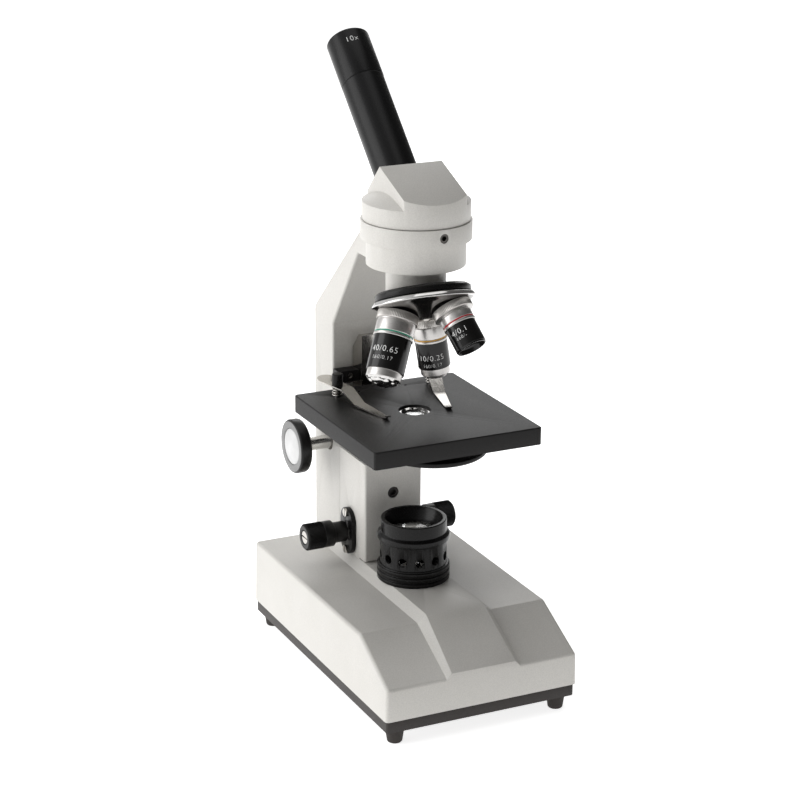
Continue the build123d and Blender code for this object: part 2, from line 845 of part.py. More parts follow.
def stage_bracket():
    """Black bracket that joins the stage to the rail and clears the guide block."""
    low = stage_bottom - bracket_flange
    back = arm_front - 0.5
    body = block((-arm_half, arm_half), (bracket_front, back), (low, bracket_top))
    flange = block((-arm_half, arm_half), (bracket_flange_front, bracket_front + 1), (low, stage_bottom))
    body = body + flange
    notch_top = block_top + coarse_down + 1
    notch = block((-block_half - 0.5, block_half + 0.5), (block_front - 0.5, back + 1), (low - 1, notch_top))
    body = body - notch
    body = body - rail_prism(0, (low - 1, bracket_top + 1))
    behind = block((-rail_back_half, rail_back_half), (rail_back, back + 1), (low - 1, bracket_top + 1))
    body = body - behind
    for x, z in bracket_screw_places():
        body = body - rod_y(1.2, (bracket_front - 1, bracket_front + 5.5), x, z)
    for x, y in stage_screw_places():
        body = body - rod_z(1.8, (low - 1, stage_bottom + 1), x, y)
    return body


def bracket_screw_places():
    return [(-bracket_screw_x, bracket_screw_z), (bracket_screw_x, bracket_screw_z)]


def bracket_screws():
    """Socket screws in the front of the bracket."""
    out = []
    for x, z in bracket_screw_places():
        screw = rod_y(2.2, (bracket_front - 1.2, bracket_front), x, z)
        screw = screw + rod_y(1.2, (bracket_front - 0.1, bracket_front + 5), x, z)
        key = Pos(x, bracket_front - 1.2, z) * Rot(90, 0, 0) * hex_socket(1.2, 0.8)
        out.append(screw - key)
    return group(out)


def stage_screw_places():
    x = arm_half - 6
    return [(-x, bracket_flange_front + 7), (x, bracket_flange_front + 7), (-x, 52), (x, 52)]


def stage_screws():
    """Screws from the bracket's flange up into the stage."""
    low = stage_bottom - bracket_flange
    one = rod_z(1.7, (low, stage_bottom + 6)) + rod_z(3.0, (low - 1.2, low))
    one = one - Pos(0, 0, low - 1.2) * Rot(180, 0, 0) * hex_socket(1.3, 0.9)
    return group([Pos(x, y, 0) * one for x, y in stage_screw_places()])


def stage_plate():
    """Plain square stage with its light hole."""
    body = block((-stage_half_x, stage_half_x), (stage_front, stage_back), (stage_bottom, stage_top))
    body = fillet(body.edges().filter_by(Axis.Z), stage_corner)
    body = fillet(body.edges().group_by(Axis.Z)[-1], 0.8)
    if stage_back > rail_front - slide_gap:
        half = arm_half + slide_gap
        body = body - block((-half, half), (rail_front - slide_gap, stage_back + 1), (stage_bottom - 1, stage_top + 1))
    body = body - rod_z(stage_hole_r, (stage_bottom - 1, stage_top + 1))
    for x, y in stage_screw_places():
        body = body - rod_z(1.7, (stage_bottom - 1, stage_bottom + 6.5), x, y)
    for side in (-1, 1):
        body = body - rod_z(stud_r(), (stage_bottom - 1, stage_top + 1), side * clip_x, clip_y)
        body = body - rod_z(0.9, (stage_top - 6, stage_top + 1), side * 16.0, clip_y + 3.4)
    body = body - rod_z(2.5, (stage_bottom - 1, stage_bottom + 5), 0, -disc_offset)
    return body


def condenser_cell():
    """Bright ring in the light hole that holds the stage lens."""
    outer = stage_hole_r
    inner = stage_hole_r - 1.7
    top = stage_top - 1.2
    return turned([(outer, stage_bottom), (outer, top), (inner, top), (inner, top - 3.5),
                   (inner - 1.2, top - 3.5), (inner - 1.2, stage_bottom)])


def condenser_lens():
    """Small lens seated in the ring."""
    r = stage_hole_r - 1.7
    low = stage_top - 1.2 - 3.5
    return rod_z(r, (low, low + 1.6)) + turned([(0, low + 1.5), (r - 0.6, low + 1.5), (r * 0.62, low + 2.5), (0, low + 2.9)])


def disc_holder():
    """Round plate under the stage that the aperture disc turns on."""
    z = (disc_bottom + disc_thick + 0.3, stage_bottom)
    body = turned([(0, z[0]), (16, z[0]), (19, z[1]), (0, z[1])])
    arm_plate = block((-7, 7), (-disc_offset - 7, 0), z)
    body = body + arm_plate
    body = body - rod_z(light_r - 1, (z[0] - 1, z[1] + 1))
    return body - rod_z(2.5, (z[0] - 1, z[1] + 1), 0, -disc_offset)


def disc_pivot():
    """Shouldered screw that the aperture disc turns on."""
    low = disc_bottom - 0.3
    body = rod_z(2.5, (low - 0.2, stage_bottom + 5), 0, -disc_offset)
    body = body + rod_z(4.5, (low - 1.6, low), 0, -disc_offset)
    return body - block((-0.5, 0.5), (-disc_offset - 5, -disc_offset + 5), (low - 2, low - 0.9))


def aperture_disc():
    """Turning disc with a row of light holes on one circle."""
    z = (disc_bottom, disc_bottom + disc_thick)
    body = turned([(0, z[0]), (disc_r - 1.2, z[0]), (disc_r, z[0] + 1.0), (disc_r, z[1]), (0, z[1])])
    body = body - rod_z(2.5 + run_gap, (z[0] - 1, z[1] + 1))
    for i in range(5):
        turn = radians(90 + 72 * i)
        radius = 6.5 - 1.2 * i
        place = (disc_offset * cos(turn), disc_offset * sin(turn))
        body = body - rod_z(radius, (z[0] - 1, z[1] + 1), *place)
    return Pos(0, -disc_offset, 0) * body


# ---------------------------------------------------------------- stage clips
def stud_r():
    return 2.0


def clip_path():
    """Side outline of the strip, (y, z) from the stud on the stage: top edge, then bottom."""
    t = clip_thick
    low = 0.15
    top = [(17.5, clip_lift + 1.4 + t), (5, clip_lift + t), (-clip_bend - 0.5, clip_lift + t), (-clip_fold, 1.2 + t)]
    top += [(-clip_reach + 4, low + t), (-clip_reach, low + t + 1.2)]
    under = [(-clip_reach, low + 1.2), (-clip_reach + 4, low), (-clip_fold - 0.8, 1.0)]
    under += [(-clip_bend - 0.8, clip_lift - 0.3), (-clip_bend, clip_lift), (5, clip_lift), (17.5, clip_lift + 1.4)]
    return top + under


def clip_plan():
    """Plan of the strip: round paddle, waist at the stud, tapering finger."""
    finger = [(-clip_half, 8), (-clip_waist, -clip_fold), (-clip_tip_half, -clip_reach - 1)]
    finger += [(clip_tip_half, -clip_reach - 1), (clip_waist, -clip_fold), (clip_half, 8)]
    plan = Polygon(*finger, align=None) + Pos(0, 11) * Circle(6.4)
    return extrude(Plane.XY.offset(-1) * plan, 20, dir=(0, 0, 1))


def clip_strip(side, toe):
    """Spring-steel strip, swung so that its finger points at the light hole."""
    strip = side_prism(clip_path(), (-9, 9)) & clip_plan()
    strip = strip - rod_z(stud_r() + run_gap, (-1, 20))
    return Pos(side * clip_x, clip_y, stage_top) * Rot(0, 0, -side * toe) * strip


def clip_knob(side):
    """Black boss pressed on the strip, turning with it on the stud."""
    low = stage_top + clip_lift + clip_thick
    body = rod_z(clip_knob_r, (low, low + clip_knob_tall), side * clip_x, clip_y)
    body = chamfer(body.edges().group_by(Axis.Z)[-1], 0.4)
    return body - rod_z(stud_r() + run_gap, (low - 1, low + clip_knob_tall - 1.5), side * clip_x, clip_y)


def clip_studs():
    """Studs that the clips turn on."""
    top = stage_top + clip_lift + clip_thick + clip_knob_tall - 1.9
    both = [rod_z(stud_r(), (stage_bottom, top), side * clip_x, clip_y) for side in (-1, 1)]
    return group(both)


def clip_springs():
    """Coil springs between the stage and the strips."""
    wire = 0.45
    both = []
    for side in (-1, 1):
        pitch = 1.7
        tall = clip_lift - 2 * wire - 0.3
        path = Helix(pitch, tall, 3.0)
        start = Plane(path @ 0, z_dir=path % 0)
        coil = sweep(start * Circle(wire), path=path)
        both.append(Pos(side * clip_x, clip_y, stage_top + wire + 0.05) * coil)
    return group(both)


# ---------------------------------------------------------------- lamp
def lamp_housing():
    """Black lamp tower with stacked rings at the foot and vent holes."""
    low = panel_top
    third = (lamp_rings_top - low) / 3
    outer = [(lamp_bore_r, low)]
    for i in range(3):
        z = low + third * i
        outer += [(lamp_ring_r - 0.5, z), (lamp_ring_r, z + 0.5), (lamp_ring_r, z + third - 1.0)]
        outer += [(lamp_ring_r - 0.9, z + third - 0.6), (lamp_ring_r - 0.9, z + third)]
    outer += [(lamp_body_r, lamp_rings_top), (lamp_body_r, lamp_flange_low)]
    outer += [(lamp_flange_r, lamp_flange_low + 0.8), (lamp_flange_r, lamp_flange_high)]
    outer += [(lamp_body_r - 0.3, lamp_flange_high + 1.5), (lamp_body_r - 0.3, lamp_rim - 0.4)]
    outer += [(lamp_body_r - 0.7, lamp_rim), (lamp_bore_r - 0.2, lamp_rim)]
    outer += [(lamp_lens_r, lamp_lens_z() + 2.0), (lamp_lens_r, lamp_lens_z())]
    outer += [(lamp_lens_r - 1.2, lamp_lens_z()), (lamp_lens_r - 1.2, lamp_lens_z() - 2)]
    outer += [(lamp_bore_r, lamp_lens_z() - 4)]
    body = turned(outer)
    for i in range(lamp_vents):
        turn = radians(15 + 360 / lamp_vents * i)
        hole = rod_x(lamp_vent_r, (lamp_bore_r - 4, lamp_body_r + 4), 0, lamp_vent_z)
        body = body - Rot(0, 0, degrees(turn)) * hole
    for side in (-1, 1):
        y = side * lamp_screw_reach()
        boss = rod_z(3.0, (low, low + 4), 0, y) & rod_z(lamp_bore_r + 0.5, (low, low + 4))
        body = body + boss - rod_z(1.5, (low - 1, low + 5), 0, y)
    return body


def lamp_lens_z():
    return lamp_flange_high - 0.5


def lamp_screw_reach():
    return lamp_bore_r - 2.2


def lamp_screw_places():
    return [-lamp_screw_reach(), lamp_screw_reach()]


def lamp_screws():
    """Screws from inside the base into the lamp tower."""
    head_top = panel_top - base_wall
    one = rod_z(1.5, (head_top - 0.1, panel_top + 4)) + rod_z(2.8, (head_top - 2, head_top))
    return group([Pos(0, y, 0) * one for y in lamp_screw_places()])


def collector_lens():
    """Thick lens with a domed top in the mouth of the lamp."""
    z = lamp_lens_z()
    sphere_r = (lamp_lens_r ** 2 + lens_rise ** 2) / (2 * lens_rise)
    dome = Pos(0, 0, z + lens_edge + lens_rise - sphere_r) * Sphere(sphere_r)
    body = dome & rod_z(lamp_lens_r, (z + lens_edge, z + lens_edge + lens_rise + 1))
    return body + rod_z(lamp_lens_r, (z, z + lens_edge))


def lamp_socket():
    """Ceramic lamp socket seated in the hole under the tower."""
    body = rod_z(7.5, (panel_top - 14, panel_top + 1)) + rod_z(9.5, (panel_top, panel_top + 5))
    return body - rod_z(4.5, (panel_top - 6, panel_top + 6))


def lamp_bulb():
    """Bayonet bulb in the socket."""
    low = panel_top - 6
    outline = [(0, low), (4.4, low), (4.4, panel_top + 7), (3.6, panel_top + 8.5)]
    outline += [(6.4, panel_top + 13), (6.4, panel_top + 17), (4.2, panel_top + 21), (0, panel_top + 22.5)]
    return turned(outline)


# ---------------------------------------------------------------- nosepiece
def nosepiece_mount():
    """Fixed black plate of the nosepiece on its neck."""
    low = -turret_rim_top + 0.4
    high = mount_top()
    plate = turned([(0, low), (mount_r, low), (mount_r, high - 1.5), (mount_r - 2, high), (0, high)])
    body = turret_frame * plate
    spigot = rod_z(neck_seat_r(), (turret_apex_z - 60, ring_bottom + 10))
    body = body + (spigot & turret_frame * rod_z(80, (low + 0.5, 80)))
    body = body - rod_z(light_r, (turret_apex_z - 60, turret_apex_z))
    body = body - turret_frame * rod_z(pivot_r(), (low - 1, high - 1.0))
    recess = block((-4.3, 4.3), (15.7, 27.3), (low - 1, low + 0.9))
    return body - turret_frame * recess


def pivot_r():
    return 4.0


def turret_cone_z(radius):
    """Height of the turret's conical face, square to the objectives, at a radius."""
    lean = radians(turret_lean)
    return -(objective_seat - radius * sin(lean)) / cos(lean)


def turret():
    """Bright turning shell with three threaded seats."""
    hub_r = pivot_r() + 4.5
    inner = turret_r - 2.5
    outline = [
        (pivot_r() + run_gap, -turret_rim_top),
        (turret_shoulder_r, -turret_rim_top),
        (turret_r, -turret_rim_low + 0.8),
        (turret_r, -turret_rim_low),
        (hub_r, turret_cone_z(hub_r)),
        (pivot_r() + run_gap, turret_cone_z(hub_r)),
    ]
    body = turned(outline)
    room = [
        (hub_r, -turret_rim_top - 1.0),
        (inner - 6, -turret_rim_top - 1.0),
        (inner - 6, turret_cone_z(inner - 6) + 1.2),
        (hub_r, turret_cone_z(hub_r) + turret_wall),
    ]
    body = body - turned(room)
    for angle in objective_angles():
        seat = Rot(0, 0, angle) * Rot(turret_lean, 0, 0)
        body = body - seat * rod_z(objective_bore_r, (-objective_seat - 3, -20))
    return turret_frame * Rot(0, 0, turret_rest) * body


def objective_angles():
    """Turn of each seat from the one on the optical axis: 10x, 40x, 4x."""
    return [0, 120, 240]


def turret_pivot():
    """Shouldered pivot screw of the turret with its slotted head."""
    low = turret_cone_z(pivot_r() + 4.5)
    top = -turret_rim_top + 0.4 + mount_thick - 1.0
    body = rod_z(pivot_r(), (low - 0.4, top))
    body = body + turned([(0, low - 0.3), (5.6, low - 0.3), (5.2, low - 1.6), (0, low - 2.2)])
    return turret_frame * (body - block((-0.6, 0.6), (-8, 8), (low - 3, low - 1.3)))


def click_spring():
    """Leaf spring on the mount whose ball drops into the turret's notches."""
    low = -turret_rim_top + 0.4
    leaf = block((-4, 4), (16, 27), (low, low + 0.9))
    return turret_frame * leaf


def objective_profile(reach, collar, nose):
    """Outline of an objective hanging below its apex: thread, nut, collar, sleeve and nose."""
    top = -objective_seat
    nut = top - nut_long
    return [(7.5, top + 6), (objective_bore_r, top + 6), (objective_bore_r, top), (nut_r, top - 0.4),
            (nut_r, nut), (collar, nut - 0.6)] + nose + [(nose[-1][0] - 1.4, -reach), (7.5, -reach + 3)]


def objective(reach, collar, nose, angle):
    """One turned objective, placed in its seat."""
    shape = turned(objective_profile(reach, collar, nose))
    return turret_frame * Rot(0, 0, turret_rest + angle) * Rot(turret_lean, 0, 0) * shape


def objective_sleeve(collar, sleeve, low, long):
    """Step from the collar in to the sleeve, and the sleeve down to its lower end."""
    return [(collar, low + long), (sleeve, low + long), (sleeve, low)]


def objective_4():
    low = -reach_4 + 0.6
    nose = objective_sleeve(collar_4, sleeve_4, low, sleeve_long_4)
    return objective(reach_4, collar_4, nose + [(sleeve_4 - 0.4, -reach_4)], objective_angles()[2])


def objective_10():
    low = -reach_10 + 6.6
    nose = objective_sleeve(collar_10, sleeve_10, low, sleeve_long_10)
    nose += [(sleeve_10 - 0.9, low - 0.2), (sleeve_10 - 0.9, -reach_10)]
    return objective(reach_10, collar_10, nose, objective_angles()[0])


def objective_40():
    low = -reach_40 + 8.0
    nose = objective_sleeve(collar_40, sleeve_40, low, sleeve_long_40)
    nose += [(sleeve_40 - 0.8, low - 0.2), (sleeve_40 - 0.8, -reach_40 + 4.0), (sleeve_40 - 2.3, -reach_40)]
    return objective(reach_40, collar_40, nose, objective_angles()[1])


def objective_lenses():
    """Front lens of each objective."""
    out = []
    for reach, angle in ((reach_10, 0), (reach_40, 120), (reach_4, 240)):
        lens = rod_z(7.5, (-reach + 3.4, -reach + 5.4))
        out.append(turret_frame * Rot(0, 0, turret_rest + angle) * Rot(turret_lean, 0, 0) * lens)
    return group(out)


# ---------------------------------------------------------------- head, tube and eyepiece
def slope_at(y, near, far):
    """Height at y of the line through two (y, z) points."""
    return near[1] + (far[1] - near[1]) * (y - near[0]) / (far[0] - near[0])


def head_prism_block():
    """Wedge of the head, trimmed to the round of its foot."""
    ridge = (head_ridge_y, head_ridge_z)
    front_y = -head_r - 1
    back_y = head_r + 1
    outline = [
        (back_y, head_top - 2),
        (front_y, head_top - 2),
        (front_y, slope_at(front_y, ridge, (head_toe_y, head_toe_z))),
        ridge,
        (back_y, slope_at(back_y, ridge, (head_heel_y, head_heel_z))),
    ]
    wedge = side_prism(outline, (-head_half, head_half))
    return wedge & rod_z(head_r, (head_top - 2, head_ridge_z + 1))


def tube_room():
    """Where the tube sits: its full round, cut level above the collar."""
    round_bar = tube_frame * rod_z(tube_r, (tube_inner_end(), tube_seam))
    return round_bar & rod_z(200, (collar_top + slide_gap, 500))


def head_housing():
    """Painted head: round foot with a conical shoulder, wedge and spigot in the collar."""
    low = collar_top + 0.4
    shoulder = [(0, low), (head_r, low), (head_r, head_top), (head_half, head_cone_top), (0, head_cone_top)]
    body = turned(shoulder)
    front_y = -head_r - 1
    toe = (head_toe_y, head_toe_z)
    ridge = (head_ridge_y, head_ridge_z)
    heel = (head_heel_y, head_heel_z)
    over = [(front_y, slope_at(front_y, ridge, toe)), ridge, (head_r + 1, slope_at(head_r + 1, ridge, heel))]
    over += [(head_r + 1, head_ridge_z + 5), (front_y, head_ridge_z + 5)]
    body = body + head_prism_block() - side_prism(over, (-head_half, head_half))
    body = body + rod_z(spigot_r(), (collar_bottom + 2.6, collar_top + 1))
    room = [(head_heel_y - 5, head_top - 4), (head_toe_y + 5, head_top - 4), (head_toe_y + 5, head_toe_z - 4.5)]
    room += [(head_ridge_y - 2, head_ridge_z - 6)]
    body = body - side_prism(room, (-head_half + head_wall, head_half - head_wall))
    body = body - rod_z(spigot_r() - 3.5, (collar_bottom, head_top - 3.5))
    return body - tube_room()


def spigot_r():
    return collar_bore_r - run_gap


def tube_inner_end():
    return 14.0


def eyepiece_tube():
    """Black inclined tube that takes the eyepiece."""
    return tube_room() - tube_frame * rod_z(tube_bore_r, (tube_inner_end() - 5, tube_seam + 1))


def prism():
    """Glass prism that bends the light into the tube."""
    low = collar_top + 1.0
    outline = [(-9, low), (9, low), (9, low + 5), (-3, low + 13), (-9, low + 13)]
    return side_prism(outline, (-9, 9))


def eyepiece_barrel():
    """Black eyepiece: sleeve in the tube and thicker head."""
    inner = tube_bore_r - run_gap
    bore = inner - 1.5
    seat = tube_seam - eyepiece_seat
    top = eyepiece_top
    outline = [
        (bore, seat), (inner, seat), (inner, tube_seam + 0.05), (tube_r, tube_seam + 0.05),
        (tube_r, top - 1.0), (tube_r - 1.0, top), (tube_r - 3.5, top), (tube_r - 6.0, top - 3.0),
        (tube_r - 6.0, top - 4.5), (bore, top - 4.5),
    ]
    return tube_frame * turned(outline)


def eyepiece_lenses():
    """Eye lens and field lens of the eyepiece."""
    bore = tube_bore_r - run_gap - 1.5
    eye = rod_z(bore, (eyepiece_top - 7.0, eyepiece_top - 4.5))
    field = rod_z(bore, (tube_seam - eyepiece_seat + 2, tube_seam - eyepiece_seat + 5))
    return group([tube_frame * eye, tube_frame * field])


# ---------------------------------------------------------------- all nodes
nodes = {
    "base_cover": base_cover,
    "base_pan": base_pan,
    "feet": feet,
    "foot_screws": foot_screws,
    "power_inlet": power_inlet,
    "fuse_holder": fuse_holder,
    "switch_bezel": switch_bezel,
    "switch_rocker": switch_rocker,
    "transformer_core": transformer_core,
    "transformer_coil": transformer_coil,
    "arm": arm,
    "arm_bolts": arm_bolts,
    "column_housing": column_housing,
    "column_cover": column_cover,
    "column_cover_screw": column_cover_screw,
    "fine_plates": fine_plates,
    "fine_plate_screws": fine_plate_screws,
    "fine_shaft": fine_shaft,
    "fine_knobs": fine_knobs,
    "fine_knob_screws": fine_knob_screws,
    "guide_block": guide_block,
    "fine_lifter": fine_lifter,
    "coarse_shaft": coarse_shaft,
    "pinion": pinion,
    "coarse_knobs": coarse_knobs,
    "coarse_insets": coarse_insets,
    "rack_rail": rack_rail,
    "stage_bracket": stage_bracket,
    "stage_screws": lambda: group([stage_screws(), bracket_screws()]),
    "stage_plate": stage_plate,
    "condenser_cell": condenser_cell,
    "condenser_lens": condenser_lens,
    "disc_holder": disc_holder,
    "disc_pivot": disc_pivot,
    "aperture_disc": aperture_disc,
    "clip_studs": clip_studs,
    "clip_springs": clip_springs,
    "clip_strip_left": lambda: clip_strip(-1, clip_toe_left),
    "clip_strip_right": lambda: clip_strip(1, clip_toe_right),
    "clip_knob_left": lambda: clip_knob(-1),
    "clip_knob_right": lambda: clip_knob(1),
    "lamp_housing": lamp_housing,
    "lamp_screws": lamp_screws,
    "collector_lens": collector_lens,
    "lamp_socket": lamp_socket,
    "lamp_bulb": lamp_bulb,
    "head_lock_screw": head_lock_screw,
    "nosepiece_mount": nosepiece_mount,
    "click_spring": click_spring,
    "turret_pivot": turret_pivot,
    "turret": turret,
    "objective_4": objective_4,
    "objective_10": objective_10,
    "objective_40": objective_40,
    "objective_lenses": objective_lenses,
    "head_housing": head_housing,
    "prism": prism,
    "eyepiece_tube": eyepiece_tube,
    "eyepiece_barrel": eyepiece_barrel,
    "eyepiece_lenses": eyepiece_lenses,
}

os.makedirs("parts", exist_ok=True)
for name, make in nodes.items():
    export_step(row_shift * make(), "parts/" + name + ".step")
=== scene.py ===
"""Looks of the student microscope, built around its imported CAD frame."""

import json
import math

import bmesh
import bpy
from mathutils import Matrix, Vector

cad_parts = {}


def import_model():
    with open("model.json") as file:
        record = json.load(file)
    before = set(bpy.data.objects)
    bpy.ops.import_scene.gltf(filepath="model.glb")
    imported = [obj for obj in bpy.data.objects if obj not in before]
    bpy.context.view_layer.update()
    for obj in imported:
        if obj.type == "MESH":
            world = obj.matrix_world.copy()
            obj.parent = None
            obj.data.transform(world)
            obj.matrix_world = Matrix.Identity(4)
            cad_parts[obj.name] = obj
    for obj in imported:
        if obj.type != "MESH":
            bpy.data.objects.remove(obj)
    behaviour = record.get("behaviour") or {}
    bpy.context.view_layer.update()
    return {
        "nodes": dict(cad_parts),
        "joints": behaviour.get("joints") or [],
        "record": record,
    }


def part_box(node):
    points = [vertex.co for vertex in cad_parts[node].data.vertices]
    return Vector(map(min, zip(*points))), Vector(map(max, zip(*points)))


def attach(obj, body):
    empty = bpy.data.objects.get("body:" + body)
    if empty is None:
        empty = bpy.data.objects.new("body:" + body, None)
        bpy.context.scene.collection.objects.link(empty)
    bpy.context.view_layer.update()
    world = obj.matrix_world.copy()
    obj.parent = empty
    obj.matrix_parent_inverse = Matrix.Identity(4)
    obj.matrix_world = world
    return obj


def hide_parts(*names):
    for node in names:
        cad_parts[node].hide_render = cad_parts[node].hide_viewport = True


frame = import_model()
nodes = frame["nodes"]
MM = 0.001
AS_IS = Matrix.Identity(4)


# ------------------------------------------------------------------ places taken from the frame
def middle(node):
    """Centre of a CAD node's box."""
    low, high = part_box(node)
    return (low + high) / 2


axis_y = middle("condenser_cell").y
joints = {joint["name"]: joint for joint in frame["joints"]}


# ------------------------------------------------------------------ materials
def shader(name):
    """New node material: returns the material, its nodes helper and its principled shader."""
    material = bpy.data.materials.new(name)
    material.use_nodes = True
    tree = material.node_tree
    return material, tree, tree.nodes["Principled BSDF"]


def noise(tree, scale, detail=3.0, roughness=0.55, stretch=None):
    """Noise in object space, in 1/m; stretch scales the three axes first."""
    coordinate = tree.nodes.new("ShaderNodeTexCoord")
    texture = tree.nodes.new("ShaderNodeTexNoise")
    texture.inputs["Scale"].default_value = scale
    texture.inputs["Detail"].default_value = detail
    texture.inputs["Roughness"].default_value = roughness
    source = coordinate.outputs["Object"]
    if stretch:
        mapping = tree.nodes.new("ShaderNodeMapping")
        mapping.inputs["Scale"].default_value = stretch
        tree.links.new(source, mapping.inputs["Vector"])
        source = mapping.outputs["Vector"]
    tree.links.new(source, texture.inputs["Vector"])
    return texture.outputs["Fac"]


def ramp(tree, source, stops):
    """Colour ramp over a 0 to 1 source; stops are (position, colour)."""
    node = tree.nodes.new("ShaderNodeValToRGB")
    elements = node.color_ramp.elements
    while len(elements) < len(stops):
        elements.new(0.5)
    for element, (position, colour) in zip(elements, stops):
        element.position = position
        element.color = (*colour, 1.0)
    tree.links.new(source, node.inputs["Fac"])
    return node.outputs["Color"]


def spread(tree, source, low, high):
    """Maps a 0.3 to 0.7 noise on to low to high."""
    node = tree.nodes.new("ShaderNodeMapRange")
    node.inputs["From Min"].default_value = 0.3
    node.inputs["From Max"].default_value = 0.7
    node.inputs["To Min"].default_value = low
    node.inputs["To Max"].default_value = high
    tree.links.new(source, node.inputs["Value"])
    return node.outputs["Result"]


def relief(tree, principled, source, depth, strength=1.0):
    """Bump from a height source, depth in metres."""
    bump = tree.nodes.new("ShaderNodeBump")
    bump.inputs["Distance"].default_value = depth
    bump.inputs["Strength"].default_value = strength
    tree.links.new(source, bump.inputs["Height"])
    tree.links.new(bump.outputs["Normal"], principled.inputs["Normal"])


def shade(colour, factor):
    """Colour made darker or lighter by a factor."""
    return tuple(min(1.0, c * factor) for c in colour)


def coat_of_paint(name, colour, grain, depth, rough, contrast=0.06, gloss=0.4):
    """Sprayed enamel: fine orange-peel grain, faint mottling, slightly uneven gloss."""
    material, tree, principled = shader(name)
    principled.inputs["Specular IOR Level"].default_value = gloss
    fine = noise(tree, grain, 4.0, 0.6)
    broad = noise(tree, 38.0, 2.0, 0.5)
    mixed = tree.nodes.new("ShaderNodeMix")
    mixed.data_type = "RGBA"
    mixed.blend_type = "MULTIPLY"
    mixed.inputs["Factor"].default_value = 1.0
    low, high = shade(colour, 1 - contrast), shade(colour, 1 + contrast)
    tree.links.new(ramp(tree, fine, [(0.35, low), (0.65, high)]), mixed.inputs["A"])
    tone = ramp(tree, broad, [(0.3, (0.965, 0.965, 0.96)), (0.7, (1.0, 1.0, 1.0))])
    tree.links.new(tone, mixed.inputs["B"])
    tree.links.new(mixed.outputs["Result"], principled.inputs["Base Color"])
    tree.links.new(spread(tree, fine, rough - 0.06, rough + 0.08), principled.inputs["Roughness"])
    relief(tree, principled, fine, depth)
    return material


def metal(name, colour, rough, brush=(1.0, 1.0, 1.0), depth=0.000004, spread_by=0.08):
    """Metal with fine tool marks drawn out along one axis."""
    material, tree, principled = shader(name)
    principled.inputs["Metallic"].default_value = 1.0
    marks = noise(tree, 900.0, 4.0, 0.6, brush)
    broad = noise(tree, 90.0, 3.0, 0.5)
    tone = ramp(tree, broad, [(0.3, shade(colour, 0.9)), (0.7, colour)])
    tree.links.new(tone, principled.inputs["Base Color"])
    worn = spread(tree, marks, rough - spread_by / 2, rough + spread_by)
    tree.links.new(worn, principled.inputs["Roughness"])
    relief(tree, principled, marks, depth)
    return material


def plastic(name, colour, rough, grain=1500.0, depth=0.00001, gloss=0.5):
    """Moulded or anodised surface with a fine grain."""
    material, tree, principled = shader(name)
    principled.inputs["Specular IOR Level"].default_value = gloss
    fine = noise(tree, grain, 3.0, 0.6)
    broad = noise(tree, 60.0, 2.0, 0.5)
    tone = ramp(tree, broad, [(0.3, shade(colour, 0.85)), (0.7, shade(colour, 1.12))])
    tree.links.new(tone, principled.inputs["Base Color"])
    tree.links.new(spread(tree, fine, rough - 0.05, rough + 0.07), principled.inputs["Roughness"])
    relief(tree, principled, fine, depth)
    return material


def clear_glass(name, tint=(0.97, 0.985, 0.98)):
    """Polished optical glass with a trace of dust."""
    material, tree, principled = shader(name)
    principled.inputs["Transmission Weight"].default_value = 1.0
    principled.inputs["IOR"].default_value = 1.52
    dust = noise(tree, 1400.0, 4.0, 0.7)
    tone = ramp(tree, dust, [(0.3, tint), (0.8, (1.0, 1.0, 1.0))])
    tree.links.new(tone, principled.inputs["Base Color"])
    tree.links.new(spread(tree, dust, 0.0, 0.035), principled.inputs["Roughness"])
    return material


def windings(name, colour):
    """Enamelled wire wound in close turns, with painted shade in the grooves between them."""
    material, tree, principled = shader(name)
    principled.inputs["Metallic"].default_value = 0.6
    coordinate = tree.nodes.new("ShaderNodeTexCoord")
    wave = tree.nodes.new("ShaderNodeTexWave")
    wave.bands_direction = "Z"
    wave.inputs["Scale"].default_value = 330.0
    wave.inputs["Distortion"].default_value = 0.4
    tree.links.new(coordinate.outputs["Object"], wave.inputs["Vector"])
    # painted shade: the wave darkens the wire's colour to a third in the grooves between turns
    tone = ramp(tree, wave.outputs["Fac"], [(0.0, shade(colour, 0.35)), (1.0, colour)])
    tree.links.new(tone, principled.inputs["Base Color"])
    relief(tree, principled, wave.outputs["Fac"], 0.0002)
    return material


def laminations(name, colour):
    """Stacked iron sheets."""
    material, tree, principled = shader(name)
    principled.inputs["Metallic"].default_value = 0.8
    coordinate = tree.nodes.new("ShaderNodeTexCoord")
    wave = tree.nodes.new("ShaderNodeTexWave")
    wave.bands_direction = "Z"
    wave.inputs["Scale"].default_value = 640.0
    tree.links.new(coordinate.outputs["Object"], wave.inputs["Vector"])
    tone = ramp(tree, wave.outputs["Fac"], [(0.0, shade(colour, 0.5)), (1.0, shade(colour, 1.2))])
    tree.links.new(tone, principled.inputs["Base Color"])
    tree.links.new(spread(tree, noise(tree, 400.0), 0.45, 0.65), principled.inputs["Roughness"])
    return material


paint = coat_of_paint("enamel_light", (0.60, 0.585, 0.555), 1500.0, 0.00005, 0.42)
pan_paint = coat_of_paint("enamel_pan", (0.026, 0.021, 0.019), 1300.0, 0.00004, 0.5, 0.25)
stage_paint = coat_of_paint("enamel_stage", (0.0085, 0.008, 0.008), 2300.0, 0.00003, 0.45, 0.35, 0.2)
rubber = plastic("rubber_feet", (0.022, 0.017, 0.014), 0.7, 1100.0, 0.00003)
anodised = plastic("anodised_black", (0.0045, 0.0042, 0.0042), 0.27, 2200.0, 0.000006, 0.22)
tube_black = plastic("tube_black", (0.0035, 0.0035, 0.0038), 0.3, 2600.0, 0.000006, 0.22)
knob_black = plastic("knob_black", (0.006, 0.0056, 0.0054), 0.36, 1500.0, 0.00001, 0.3)
moulded = plastic("moulded_black", (0.01, 0.01, 0.01), 0.45, 1200.0, 0.00002)
